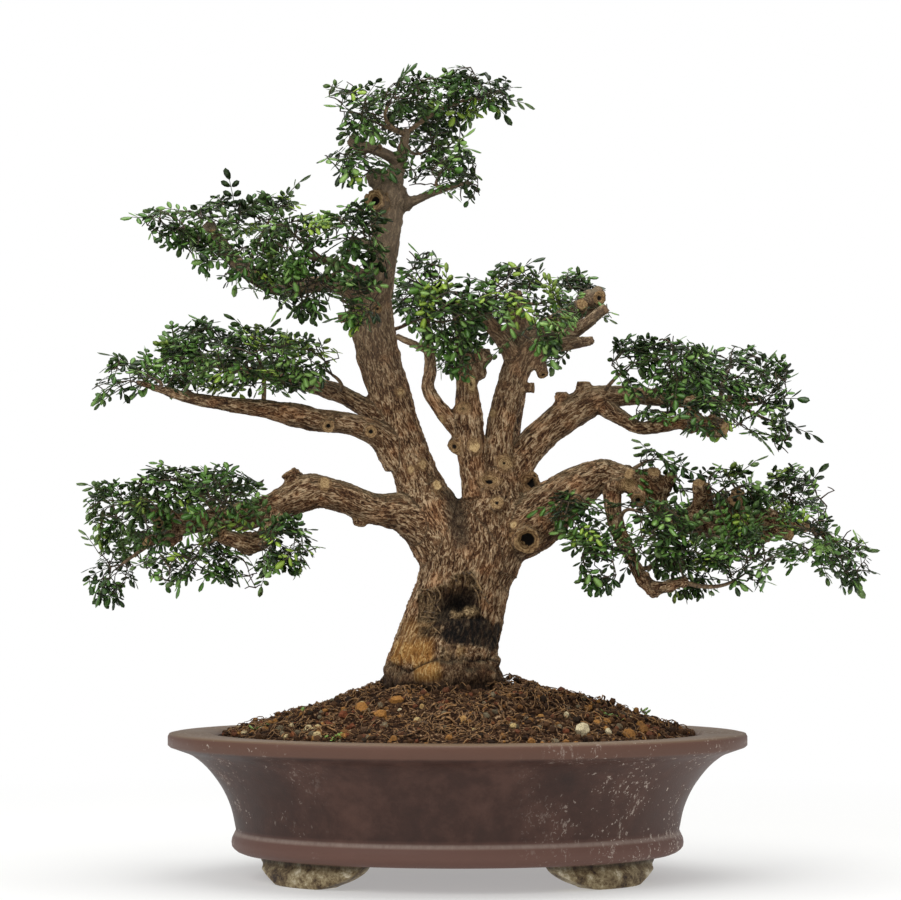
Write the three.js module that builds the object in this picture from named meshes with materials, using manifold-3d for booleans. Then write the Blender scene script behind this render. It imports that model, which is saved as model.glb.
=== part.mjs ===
// A Chinese pepper bonsai (Zanthoxylum) in an oval unglazed clay pot.
// Millimetres, +Z up, the front of the tree towards -Y, z = 0 under the pot's feet.
// Four kinds of piece: the pot, the soil, the woody tree and the green leafy sprays.
import * as THREE from "three";
import { mergeVertices } from "three/addons/utils/BufferGeometryUtils.js";
import Module from "manifold-3d";

const wasm = await Module();
wasm.setup();

// Driving sizes
const clearance = 0.35; // between pieces that touch on the real tree

const pot = {
  depthRatio: 0.78, // front to back against side to side
  sides: 30,
  // half lengths and heights up the outside, from the underside to the rim
  band: [[152, 15], [168, 17], [175.5, 23], [175.5, 30]],
  wall: [[172.5, 38], [176.5, 55], [183.5, 71], [195, 86], [206, 95], [213, 98.5]],
  wallSteps: 5,
  lip: [[222, 98.8], [225, 102.5], [225, 109], [222, 112]],
  // the flat flange, then down the inside
  inside: [[192, 112], [188, 109], [174, 80], [158, 36], [150, 28]],
  drainSpacing: 78,
  drainRadius: 12,
};

const foot = {
  centreAngles: [38, 142, 218, 322], // degrees round the oval, from +X
  reach: 160, // half the long side of the oval that the feet follow
  arcRadius: 141, // its mean radius, which turns lengths along a foot into angles
  thickness: 20,
  // cloud outline: arc distance from the middle of the foot and height
  outline: [
    [-60, 24], [-57, 17], [-48, 12.5], [-36, 7], [-25, 2.5], [-15, 0],
    [24, 0], [36, 3], [48, 7.5], [58, 14], [64, 24],
  ],
};

const soil = {
  edge: 109.4,
  crown: 151,
  rings: [0.36, 0.56, 0.78, 1],
  sunk: 6, // the edge round the trunk lies this far under the crown
  lump: 2.6,
  lean: 0.012, // the mound stands a little higher on the right
};

const trunk = {
  sides: 14,
  depthRatio: 0.88,
  buried: { bottom: 72, radius: 38 }, // the plain stump that stands in the soil
  fluteFrom: 160, // the big flutes start above the soil
  fluteDepths: [0.035, 0.02], // of the three broad ones and the five narrow ones
  fluteTwist: 1 / 30, // radians for each millimetre up
  rings: [
    [-11, 0, 153, 47.3], [-11, 0, 163, 45.5], [-9, 0, 179, 41.7], [-2, 0, 202, 39.8],
    [5, 0, 228, 38.2], [10, 0, 250, 39], [11, 0, 264, 33],
  ],
};

// Limbs from the trunk outwards: points of the centre line, each with its radius
const limbs = {
  forkLeft: [
    [4, 0, 241, 32], [-12, -2, 265, 28.5], [-23, -4, 285, 25], [-29, -2, 303, 19.5],
    [-36, 0, 322, 17.2], [-46, 6, 355, 15.6], [-61, 10, 402, 17.3], [-68, 5, 441, 17.2],
    [-64, 3, 461, 14.1], [-58, 2, 483, 10.9], [-55, 2, 519, 13.3], [-53, 2, 537, 10.2],
    [-44, 3, 565, 5.1], [-40, 4, 586, 3.1],
  ],
  forkRight: [[16, 0, 241, 34], [25, 0, 268, 32.4], [28, -2, 288, 28.1], [30, -5, 308, 18.7]],
  lowerLeft: [
    [-14, -6, 264, 21], [-31, -12, 276, 18.6], [-45, -16, 283, 15.5], [-67, -22, 286, 12.4],
    [-98, -28, 297, 12.6], [-118, -30, 297, 14.4], [-146, -30, 285, 11.6], [-191, -12, 277, 8.2],
    [-233, 10, 265, 4.7],
  ],
  lowerLeftSpur: [[-138, -34, 284, 9.2], [-152, -50, 258, 6.9], [-179, -66, 264, 6.4]],
  midLeft: [
    [-45, 0, 322, 14.1], [-60, -6, 342, 10.9], [-84, -10, 352, 8.9], [-107, -14, 354, 9.3],
    [-126, -18, 358, 9.7], [-151, -22, 363, 7.3], [-203, -30, 370, 5], [-248, -36, 383, 2.3],
  ],
  midLeftUpper: [
    [-59, 4, 357, 8.6], [-85, 14, 373, 7.5], [-100, 22, 380, 7.9], [-121, 32, 386, 6.3],
    [-211, 58, 407, 2.4],
  ],
  upperLeft: [
    [-71, 4, 448, 11.7], [-89, 12, 461, 7.9], [-113, 20, 464, 6.7], [-134, 26, 461, 7.1],
    [-154, 30, 467, 6.7], [-176, 32, 483, 5.9], [-199, 26, 514, 4.7],
  ],
  upperLeftTwig: [[-66, 2, 466, 5.5], [-97, -22, 477, 3.9], [-115, -42, 479, 2.7]],
  upperLeftTip: [[-179, 30, 486, 4], [-199, 8, 498, 3.1], [-215, -10, 507, 2.3]],
  centre: [
    [16, -14, 296, 13.2], [12, -16, 316, 10.9], [10, -18, 339, 11.6], [8, -18, 361, 10.8],
    [7, -16, 382, 8.5], [2, -12, 423, 4.7], [-4, -10, 449, 3.1],
  ],
  centreLeft: [
    [0, -16, 347, 7], [-14, -20, 364, 6.2], [-23, -24, 379, 5.4], [-21, -26, 397, 5],
    [-26, -30, 447, 2.3],
  ],
  centreLeftTwig: [[-21, -26, 407, 3.5], [-48, -16, 420, 2.7]],
  centreRight: [
    [31, -8, 299, 15.6], [31, -8, 330, 11.7], [36, -6, 361, 11.3], [46, 0, 394, 11.7],
    [56, 6, 412, 11], [71, 12, 426, 10.2], [89, 18, 439, 8.7], [115, 28, 460, 5.5],
  ],
  centreRightSpur: [[44, 0, 404, 7.8], [31, -14, 423, 6.2], [14, -26, 437, 5]],
  centreRightChunk: [[52, 6, 414, 9.4], [45, 12, 437, 7.9], [46, 16, 459, 5.5]],
  centreRightArm: [[69, 8, 417, 7.8], [92, -8, 425, 5.8], [116, -22, 442, 3.9]],
  centreRightLow: [[69, 6, 414, 7.1], [104, -30, 415, 3.9]],
  upperRight: [
    [38, 0, 307, 17.2], [51, 4, 327, 13.7], [63, 6, 341, 12.9], [77, 8, 353, 12.9],
    [92, 8, 363, 13.3], [106, 8, 371, 12.5], [121, 8, 374, 9.4], [140, 10, 375, 7.5],
    [191, 18, 371, 5.5], [242, 32, 375, 2.8],
  ],
  upperRightLow: [
    [116, 4, 365, 7.8], [131, -6, 355, 6.2], [145, -18, 348, 5.4], [180, -38, 353, 5.8],
    [195, -46, 347, 4.6],
  ],
  lowerRight: [
    [35, -2, 263, 25.4], [58, -8, 275, 24.1], [78, -14, 291, 20.2], [95, -18, 303, 17],
    [110, -20, 311, 13.2], [127, -22, 310, 10.4], [145, -26, 301, 10.8], [158, -24, 284, 8.1],
    [175, -18, 274, 7.7], [200, -8, 273, 9.3], [239, 10, 275, 8.2], [283, 30, 271, 3.2],
  ],
  lowerRightDown: [
    [119, -24, 304, 7.7], [121, -40, 275, 6.5], [133, -50, 246, 6.5], [141, -54, 230, 6.1],
    [150, -56, 220, 5.3],
  ],
  lowerRightToe: [[145, -54, 226, 5.3], [175, -72, 230, 3]],
  lowerRightTip: [[254, 14, 275, 4.7], [274, -8, 271, 3.5], [294, -24, 260, 2.3]],
  topLeft: [[-44, 3, 559, 5.1], [-61, -10, 565, 4.7], [-80, -20, 570, 4.3]],
  topRight: [[-42, 2, 524, 5.5], [-26, -8, 530, 3.5], [10, -22, 540, 1.9]],
  backLeft: [[-58, 14, 385, 11], [-64, 48, 425, 7.2], [-75, 84, 450, 4.1]],
  backRight: [[32, 8, 317, 14.1], [44, 44, 358, 8], [54, 84, 399, 4.9]],
};

// Pruned stubs and swollen knots: root, tip and radius
const stubs = [
  [[-28, -8, 300], [-15, -26, 304], 4.3],
  [[-118, -30, 297], [-131, -32, 314], 7],
  [[-74, -22, 285], [-76, -24, 272], 5],
  [[-100, -12, 352], [-100, -26, 349], 5],
  [[-68, -8, 347], [-67, -23, 345], 5],
  [[-58, 0, 524], [-65, -18, 526], 7.5],
  [[-68, 3, 441], [-62, -19, 441], 4.2],
  [[-60, 2, 489], [-81, -8, 495], 3.6],
  [[-72, 5, 442], [-92, -8, 434], 4],
  [[-152, 29, 466], [-150, 14, 471], 3.6],
  [[-200, -8, 274], [-229, -22, 283], 4],
  [[44, -2, 380], [60, -6, 380], 4],
  [[61, 8, 412], [67, -6, 390], 4.5],
  [[82, 8, 358], [81, 6, 378], 4.8],
  [[99, 8, 366], [99, 5, 386], 5.5],
  [[180, -37, 353], [178, -42, 371], 4.6],
  [[14, -14, 326], [13, -27, 333], 4.5],
  [[32, -20, 284], [30, -36, 290], 5.5],
  [[4, -14, 339], [-3, -24, 333], 6],
  [[52, -12, 262], [53, -38, 260], 10],
];

const stubFlare = 1.35; // how much thicker a stub is at its root than at its tip

// The hollow where the old heartwood has rotted out, low on the front
const rot = { size: [24, 17, 27], lean: 0.25, centre: [5, -40, 206] };

// Foliage pads: the limbs that carry them, and clumps as centre, half width and half height
const pads = {
  top: {
    on: ["forkLeft", "topLeft", "topRight"],
    clumps: [
      [-80, -26, 599, 19, 19], [-35, -34, 610, 28, 18], [19, 0, 613, 30, 18],
      [-2, -26, 547, 25, 19], [-80, -30, 551, 23, 17], [-20, 42, 586, 29, 24],
    ],
  },
  upperLeft: {
    on: ["upperLeft", "upperLeftTwig", "upperLeftTip"],
    clumps: [
      [-228, -18, 506, 23, 17], [-187, 32, 523, 27, 16], [-171, -10, 478, 25, 19],
      [-128, -40, 494, 28, 20], [-114, -30, 453, 28, 20], [-76, -58, 499, 26, 23],
      [-152, 72, 526, 31, 21],
    ],
  },
  midLeft: {
    on: ["midLeft", "midLeftUpper"],
    clumps: [
      [-253, -45, 387, 21, 18], [-216, -10, 400, 26, 23], [-166, -52, 400, 27, 24],
      [-122, -18, 405, 29, 20], [-208, 66, 420, 34, 23], [-152, 50, 416, 30, 21],
    ],
  },
  lowerLeft: {
    on: ["lowerLeft", "lowerLeftSpur"],
    clumps: [
      [-271, -14, 286, 22, 25], [-229, -48, 299, 28, 21], [-179, -66, 299, 27, 21],
      [-271, 12, 237, 24, 27], [-215, -60, 240, 26, 15], [-132, -80, 257, 27, 24],
      [-192, 34, 294, 30, 22], [-247, 60, 278, 30, 24],
    ],
  },
  centre: {
    on: [
      "centre", "centreLeft", "centreLeftTwig", "centreRight", "centreRightSpur",
      "centreRightChunk", "centreRightArm", "centreRightLow",
    ],
    clumps: [
      [-25, -34, 466, 25, 18], [-2, -62, 432, 24, 24], [42, -20, 461, 26, 17],
      [92, 48, 461, 27, 19], [67, -56, 420, 23, 18], [0, -52, 397, 20, 17],
    ],
  },
  back: {
    on: ["backLeft", "backRight", "forkLeft"],
    clumps: [
      [-73, -60, 445, 23, 27], [-70, 98, 467, 26, 21], [-30, 70, 456, 26, 23],
      [35, 100, 445, 29, 23], [75, 112, 423, 26, 21],
    ],
  },
  upperRight: {
    on: ["upperRight", "upperRightLow"],
    clumps: [
      [133, -14, 403, 20, 19], [172, -30, 400, 26, 20], [224, 44, 399, 27, 22],
      [245, -14, 382, 20, 25], [188, -62, 356, 27, 18], [255, 6, 342, 11, 19],
      [188, 66, 398, 31, 21],
    ],
  },
  lowerRight: {
    on: ["lowerRight", "lowerRightDown", "lowerRightToe", "lowerRightTip"],
    clumps: [
      [84, -62, 282, 21, 20], [107, -72, 244, 21, 26], [152, -38, 321, 17, 14],
      [152, -84, 274, 26, 21], [178, -36, 238, 28, 22], [207, -44, 299, 26, 23],
      [265, 30, 302, 27, 22], [219, -70, 247, 27, 26], [271, -44, 265, 24, 21],
      [306, -6, 244, 23, 23], [211, 62, 278, 34, 26],
    ],
  },
};

const twig = {
  rootRadius: 2,
  tipRadius: 1.15,
  sides: 3,
  steps: 2,
  bend: 0.45, // how long it runs straight before the shoot, against its whole length
  setBack: 18, // from the middle of the clump to the start of the shoot
  inwards: 26, // it leaves its limb this much nearer the trunk than the clump
  thickestLimb: 18, // radius of the thickest wood that it grows from
  spacing: 6, // of the places on a limb where it may start
};

const leaf = {
  thickness: 0.7,
  halfRib: 0.8,
  stalk: 6,
  pitch: 7.8, // from a pair of leaflets to the next
  belly: [1.8, 5.8], // widest point of a leaflet, from its notch: along and out
  point: [8.8, 11], // tip of a leaflet
  endBelly: [4.5, 4.2], // of the leaflet at the end of the rib
  endLength: 12.5,
  fold: 0.22, // leaflets rise from the rib
  arch: 0.005, // droop along the rib
};

const shoot = { length: 8, width: 1.8, fork: 1.8 };

// Each spray carries a leaf at its end and a shorter one to one side
const spray = {
  endPairs: 3,
  sidePairs: 2,
  endAngle: -7,
  sideAngle: 64, // degrees from the shoot
  wander: 1.1, // how far a shoot turns from straight outwards
  level: 0.8, // shoots grow more sideways than to the front and back
  drift: [0, -0.12, 0.1], // a little to the light, at the front and above
  tilt: 1.8, // radians over which shoots roll, and below it those over which a leaf turns
  turn: 0.35,
  nod: 0.5,
  roll: 0.7,
};

const rule = {
  seed: 5200,
  tries: 1500,
  leafClear: 5.6, // between points of two sprays
  woodClear: 4, // between a leaf's points and bark
  hubReach: 140, // sprays further apart than this can't touch
  barkReach: 75, // nor can bark this far from a spray
  limits: { left: -297, right: 331, top: 635 }, // outline of the tree seen from the front
};

const colours = { clay: 0x5b3a35, soil: 0x2b2119, wood: 0x7d634b, leaf: 0x2f5a24 };

// Small helpers
const vec = (x, y, z) => new THREE.Vector3(x, y, z);
const radians = THREE.MathUtils.degToRad;

function solidOf(geometry) {
  const plain = geometry.clone();
  plain.deleteAttribute("normal");
  plain.deleteAttribute("uv");
  const merged = mergeVertices(plain, 1e-4);
  return new wasm.Manifold(
    new wasm.Mesh({
      numProp: 3,
      vertProperties: new Float32Array(merged.attributes.position.array),
      triVerts: new Uint32Array(merged.index.array),
    }),
  );
}

function geometryOf(made) {
  const mesh = made.getMesh();
  const geometry = new THREE.BufferGeometry();
  geometry.setAttribute("position", new THREE.BufferAttribute(mesh.vertProperties, 3));
  geometry.setIndex(new THREE.BufferAttribute(mesh.triVerts, 1));
  geometry.computeVertexNormals();
  return geometry;
}

function named(name, geometry, colour, roughness) {
  const material = new THREE.MeshStandardMaterial({ color: colour, roughness, metalness: 0 });
  const mesh = new THREE.Mesh(geometry, material);
  mesh.name = name;
  return mesh;
}

// Moves every vertex of a geometry by a function that returns its new place
function reshape(geometry, place) {
  const position = geometry.attributes.position;
  for (let i = 0; i < position.count; i++) {
    const moved = place(vec(position.getX(i), position.getY(i), position.getZ(i)));
    position.setXYZ(i, moved.x, moved.y, moved.z);
  }
  return geometry;
}

// The same draws in the same order each time: mulberry32
function seededDraws(seed) {
  let state = seed >>> 0;
  return () => {
    state = (state + 0x6d2b79f5) >>> 0;
    let t = state;
    t = Math.imul(t ^ (t >>> 15), t | 1);
    t ^= t + Math.imul(t ^ (t >>> 7), t | 61);
    return ((t ^ (t >>> 14)) >>> 0) / 4294967296;
  };
}

// A round bar along points with a radius at each, closed by flat ends
function barGeometry(points, radii, sides, endTangent) {
  const steps = points.length - 1;
  const tangents = points.map((point, i) => {
    const ahead = points[Math.min(i + 1, steps)];
    const behind = points[Math.max(i - 1, 0)];
    return ahead.clone().sub(behind).normalize();
  });
  if (endTangent) tangents[steps] = endTangent;
  let across = Math.abs(tangents[0].y) < 0.9 ? vec(0, 1, 0) : vec(1, 0, 0);
  const frames = tangents.map((tangent) => {
    across = across.clone().addScaledVector(tangent, -across.dot(tangent)).normalize();
    return [across, across.clone().cross(tangent)];
  });
  const round = new THREE.CylinderGeometry(1, 1, 1, sides, steps, false);
  return reshape(round, (v) => {
    const i = Math.round((v.y + 0.5) * steps);
    const [right, back] = frames[i];
    return points[i].clone()
      .addScaledVector(right, v.x * radii[i])
      .addScaledVector(back, v.z * radii[i]);
  });
}

// The pot

function ovalLathe(profile) {
  const outline = profile.map(([r, z]) => new THREE.Vector2(r, z));
  const turned = new THREE.LatheGeometry(outline, pot.sides);
  turned.rotateX(Math.PI / 2);
  return turned.scale(1, pot.depthRatio, 1);
}

function footGeometry(centreAngle) {
  const shape = new THREE.Shape(foot.outline.map(([along, z]) => new THREE.Vector2(along, z)));
  const block = new THREE.ExtrudeGeometry(shape, {
    depth: foot.thickness,
    bevelEnabled: false,
  });
  const start = radians(centreAngle);
  const mirror = Math.sign(Math.tan(start));
  return reshape(block, (v) => {
    const angle = start + (mirror * v.x) / foot.arcRadius;
    const reach = foot.reach - foot.thickness + (mirror > 0 ? v.z : foot.thickness - v.z);
    return vec(
      reach * Math.cos(angle),
      (reach - foot.reach * (1 - pot.depthRatio)) * Math.sin(angle),
      v.y,
    );
  });
}

function potGeometry() {
  const wall = new THREE.SplineCurve(pot.wall.map(([r, z]) => new THREE.Vector2(r, z)))
    .getPoints(pot.wallSteps)
    .map((p) => [p.x, p.y]);
  const underside = pot.band[0][1];
  const floor = pot.inside.at(-1)[1];
  const profile = [[0, underside], ...pot.band, ...wall, ...pot.lip, ...pot.inside, [0, floor]];
  let body = solidOf(ovalLathe(profile));
  for (const angle of foot.centreAngles) body = body.add(solidOf(footGeometry(angle)));
  for (const x of [-pot.drainSpacing, 0, pot.drainSpacing]) {
    const drill = new THREE.CylinderGeometry(pot.drainRadius, pot.drainRadius, 2 * floor, 10);
    body = body.subtract(solidOf(drill.rotateX(Math.PI / 2).translate(x, 0, floor)));
  }
  return geometryOf(body);
}

// The soil, a crumbly mound with a plain round hole for the stump

function soilTop(reach, x, y) {
  const mound = soil.edge + (soil.crown - soil.edge) * (1 - reach ** 2);
  const lumps = Math.sin(x * 0.11 + 1.3) * Math.cos(y * 0.13) + Math.sin(x * 0.07 - y * 0.09);
  return mound + (soil.lump * lumps + soil.lean * x) * (1 - reach ** 6);
}

function soilGeometry() {
  const [middle, , stumpTop, stumpRadius] = trunk.rings[0];
  const { bottom, radius } = trunk.buried;
  const taper = (stumpRadius - radius) / (stumpTop - bottom);
  const holeFloor = bottom - clearance;
  const holeTop = soil.crown - soil.sunk;
  const flats = Math.cos(Math.PI / pot.sides); // the hole's flats lie inside its corners
  const holeAt = (z) => (radius + taper * (z - bottom)) / flats + clearance;
  // each row: half length, height, centre x and depth ratio
  const rows = [];
  const addRow = (r, z, x, ratio, reach) => rows.push({ r, z, x, ratio, reach });
  addRow(0, holeFloor, middle, trunk.depthRatio);
  addRow(holeAt(holeFloor), holeFloor, middle, trunk.depthRatio);
  addRow(holeAt(holeTop), holeTop, middle, trunk.depthRatio);
  const [edge, ...bowl] = pot.inside.slice(1)
    .map(([r, z]) => [r - 2 * clearance, z + clearance]);
  for (const reach of soil.rings) {
    const fade = 1 - reach;
    const ratio = pot.depthRatio + (trunk.depthRatio - pot.depthRatio) * fade;
    addRow(edge[0] * reach - fade, 0, middle * fade, ratio, reach);
  }
  for (const [r, z] of bowl) addRow(r, z, 0, pot.depthRatio);
  addRow(0, bowl.at(-1)[1], 0, pot.depthRatio);
  const unit = rows.map((row, i) => new THREE.Vector2(row.r === 0 ? 0 : 1, i));
  const turned = new THREE.LatheGeometry(unit.reverse(), pot.sides);
  return reshape(turned, (v) => {
    const row = rows[Math.round(v.y)];
    const x = row.x + v.x * row.r;
    const y = -v.z * row.r * row.ratio;
    const z = row.reach === undefined ? row.z : soilTop(row.reach, x, y);
    return vec(x, y, z);
  });
}

// The woody tree

function trunkGeometry() {
  const [x, y] = trunk.rings[0];
  const rings = [[x, y, trunk.buried.bottom, trunk.buried.radius], ...trunk.rings];
  const steps = rings.length - 1;
  const round = new THREE.CylinderGeometry(1, 1, 1, trunk.sides, steps, false);
  return reshape(round, (v) => {
    const [centreX, centreY, z, radius] = rings[Math.round((v.y + 0.5) * steps)];
    const angle = Math.atan2(-v.z, v.x);
    const [broad, narrow] = z > trunk.fluteFrom ? trunk.fluteDepths : [0, 0];
    const turn = z * trunk.fluteTwist;
    const flutes = broad * Math.cos(3 * angle + turn) + narrow * Math.cos(5 * angle);
    const reach = Math.hypot(v.x, v.z) * radius * (1 + flutes);
    return vec(
      centreX + reach * Math.cos(angle),
      centreY + reach * Math.sin(angle) * trunk.depthRatio,
      z,
    );
  });
}

function sidesFor(radius) {
  if (radius > 18) return 9;
  if (radius > 9) return 7;
  return radius > 5 ? 5 : 4;
}

function limbGeometry(points) {
  const thickest = Math.max(...points.map((p) => p[3]));
  const line = points.map(([x, y, z]) => vec(x, y, z));
  return barGeometry(line, points.map((p) => p[3]), sidesFor(thickest));
}

function stubGeometry([root, tip, radius]) {
  const radii = [radius * stubFlare, radius];
  return barGeometry([vec(...root), vec(...tip)], radii, radius > 6 ? 6 : 5);
}

function rotGeometry() {
  return new THREE.IcosahedronGeometry(1, 1)
    .scale(...rot.size)
    .rotateY(rot.lean)
    .translate(...rot.centre);
}

// Leafy sprays: where they may grow without touching each other or the bark

function pointsAlong(line, spacing) {
  const points = [];
  for (let i = 1; i < line.length; i++) {
    const [ax, ay, az, ar] = line[i - 1];
    const [bx, by, bz, br] = line[i];
    const count = Math.ceil(Math.hypot(bx - ax, by - ay, bz - az) / spacing);
    for (let k = 0; k < count; k++) {
      const t = k / count;
      const at = vec(ax + (bx - ax) * t, ay + (by - ay) * t, az + (bz - az) * t);
      points.push({ at, radius: ar + (br - ar) * t });
    }
  }
  return points;
}

function barkPoints() {
  const spacing = 5;
  const points = [trunk.rings, ...Object.values(limbs)]
    .flatMap((line) => pointsAlong(line, spacing));
  for (const [root, tip, radius] of stubs) {
    for (const t of [0.5, 1]) points.push({ at: vec(...root).lerp(vec(...tip), t), radius });
  }
  return points;
}

// The point on a pad's limbs that a twig to this clump starts from, a little inwards of it
function twigRoot(centre, limbNames) {
  const inwards = vec(-centre.x, -centre.y, 0).clampLength(0, twig.inwards);
  const wanted = centre.clone().add(inwards);
  const slim = limbNames.flatMap((name) => pointsAlong(limbs[name], twig.spacing))
    .filter(({ radius }) => radius < twig.thickestLimb);
  return slim.reduce((best, point) =>
    point.at.distanceTo(wanted) < best.at.distanceTo(wanted) ? point : best).at;
}

// Points of a leaf in its own flat frame: along the rib, and across it on one side
function leafSide(pairs) {
  const side = [];
  for (let pair = 0; pair < pairs; pair++) {
    const notch = leaf.stalk + pair * leaf.pitch;
    side.push([notch, leaf.halfRib]);
    side.push([notch + leaf.belly[0], leaf.belly[1]]);
    side.push([notch + leaf.point[0], leaf.point[1]]);
  }
  const last = leaf.stalk + pairs * leaf.pitch;
  side.push([last, leaf.halfRib]);
  side.push([last + leaf.endBelly[0], leaf.endBelly[1]]);
  return side;
}

const leafLength = (pairs) => leaf.stalk + pairs * leaf.pitch + leaf.endLength;

function onLeaf(frame, along, across) {
  const lift = leaf.fold * Math.abs(across) - leaf.arch * along * along;
  return frame.from.clone()
    .addScaledVector(frame.ahead, along)
    .addScaledVector(frame.side, across)
    .addScaledVector(frame.up, lift);
}

// A frame that looks ahead, with its side to the right of it, or to the left for hand -1
function frameOf(from, ahead, up, hand) {
  return { from, ahead, up, side: ahead.clone().cross(up).multiplyScalar(hand) };
}

// A leaf's frame: turned sideways by yaw, tipped by pitch and rolled about its rib
function leafFrame(from, stem, yaw, pitch, roll, hand) {
  const ahead = stem.ahead.clone().multiplyScalar(Math.cos(yaw))
    .addScaledVector(stem.side, Math.sin(yaw))
    .addScaledVector(stem.up, Math.sin(pitch))
    .normalize();
  const up = stem.up.clone().addScaledVector(ahead, -stem.up.dot(ahead)).normalize();
  up.applyAxisAngle(ahead, roll);
  return frameOf(from, ahead, up, hand);
}

// One trial of a spray on a clump: its twig, its shoot and its two leaves
function sprayTrial([x, y, z, halfWidth, halfHeight], root, draw) {
  const about = (size) => (draw() - 0.5) * size;
  const ahead = vec(x - root.x, (y - root.y) * spray.level, z - root.z).normalize();
  ahead.add(vec(about(spray.wander), about(spray.wander), about(spray.wander)));
  ahead.add(vec(...spray.drift)).normalize();
  const tip = vec(x + about(halfWidth), y + about(halfWidth), z + about(halfHeight));
  tip.addScaledVector(ahead, -twig.setBack);
  const bend = tip.clone().addScaledVector(ahead, -twig.bend * tip.distanceTo(root));
  const curve = new THREE.QuadraticBezierCurve3(root, bend, tip);
  const hand = draw() < 0.5 ? -1 : 1;
  const level = ahead.clone().cross(vec(0, 0, 1));
  if (level.length() < 0.2) level.set(1, 0, 0);
  const up = level.cross(ahead).normalize().applyAxisAngle(ahead, about(spray.tilt));
  const stem = frameOf(tip.clone().addScaledVector(ahead, clearance), ahead, up, hand);
  const along = (distance, across) => stem.from.clone()
    .addScaledVector(ahead, distance)
    .addScaledVector(stem.side, across);
  const grown = (pairs, from, angle) => {
    const yaw = radians(angle) + about(spray.turn);
    return { pairs, frame: leafFrame(from, stem, yaw, about(spray.nod), about(spray.roll), hand) };
  };
  const leaves = [
    grown(spray.endPairs, along(shoot.length + shoot.fork, 0), spray.endAngle),
    grown(
      spray.sidePairs,
      along(shoot.length + shoot.fork / 2, shoot.width / 2),
      spray.sideAngle,
    ),
  ];
  return { curve, stem, leaves, hand };
}

// Points that stand for a spray when its distance to others is tried
function testPoints({ stem, leaves }) {
  const points = [stem.from.clone().addScaledVector(stem.ahead, shoot.length / 2)];
  for (const { pairs, frame } of leaves) {
    for (let along = 2; along <= leafLength(pairs); along += 6) {
      points.push(onLeaf(frame, along, 0));
    }
    for (const [along, across] of leafSide(pairs)) {
      if (across === leaf.halfRib) continue;
      for (const share of [-1, -0.5, 0.5, 1]) points.push(onLeaf(frame, along, share * across));
    }
    points.push(onLeaf(frame, leafLength(pairs), 0));
  }
  return points;
}

function withinLimits({ x, z }) {
  return x > rule.limits.left && x < rule.limits.right && z < rule.limits.top;
}

const near = (a, b, reach) => a.distanceToSquared(b) < reach * reach;

function touches(points, rounds) {
  return rounds.some(({ at, radius }) => points.some((p) => near(p, at, radius + rule.woodClear)));
}

// The trial as a spray, or nothing when it would touch what has grown before it
function fitted(trial, grown, bark) {
  const points = testPoints(trial);
  if (!points.every(withinLimits)) return undefined;
  const hub = trial.leaves[0].frame.from;
  if (touches(points, bark.filter(({ at }) => near(at, hub, rule.barkReach)))) return undefined;
  const stalk = trial.curve.getPoints(12).map((at) => ({ at, radius: twig.rootRadius }));
  for (const other of grown) {
    if (touches(points, other.stalk) || touches(other.points, stalk)) return undefined;
    if (!near(hub, other.hub, rule.hubReach)) continue;
    if (points.some((p) => other.points.some((q) => near(p, q, rule.leafClear)))) return undefined;
  }
  return { trial, points, hub, stalk };
}

function growSprays() {
  const bark = barkPoints();
  const grown = [];
  for (const [pad, { on, clumps }] of Object.entries(pads)) {
    clumps.forEach((clump, i) => {
      const root = twigRoot(vec(clump[0], clump[1], clump[2]), on);
      const draw = seededDraws(rule.seed + grown.length * 101);
      let made;
      for (let tries = 0; !made && tries < rule.tries; tries++) {
        made = fitted(sprayTrial(clump, root, draw), grown, bark);
      }
      if (!made) throw new Error(`no room for spray ${i + 1} of the ${pad} pad`);
      grown.push({ ...made, name: `leaf_spray_${pad}_${i + 1}` });
    });
  }
  return grown;
}

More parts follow.
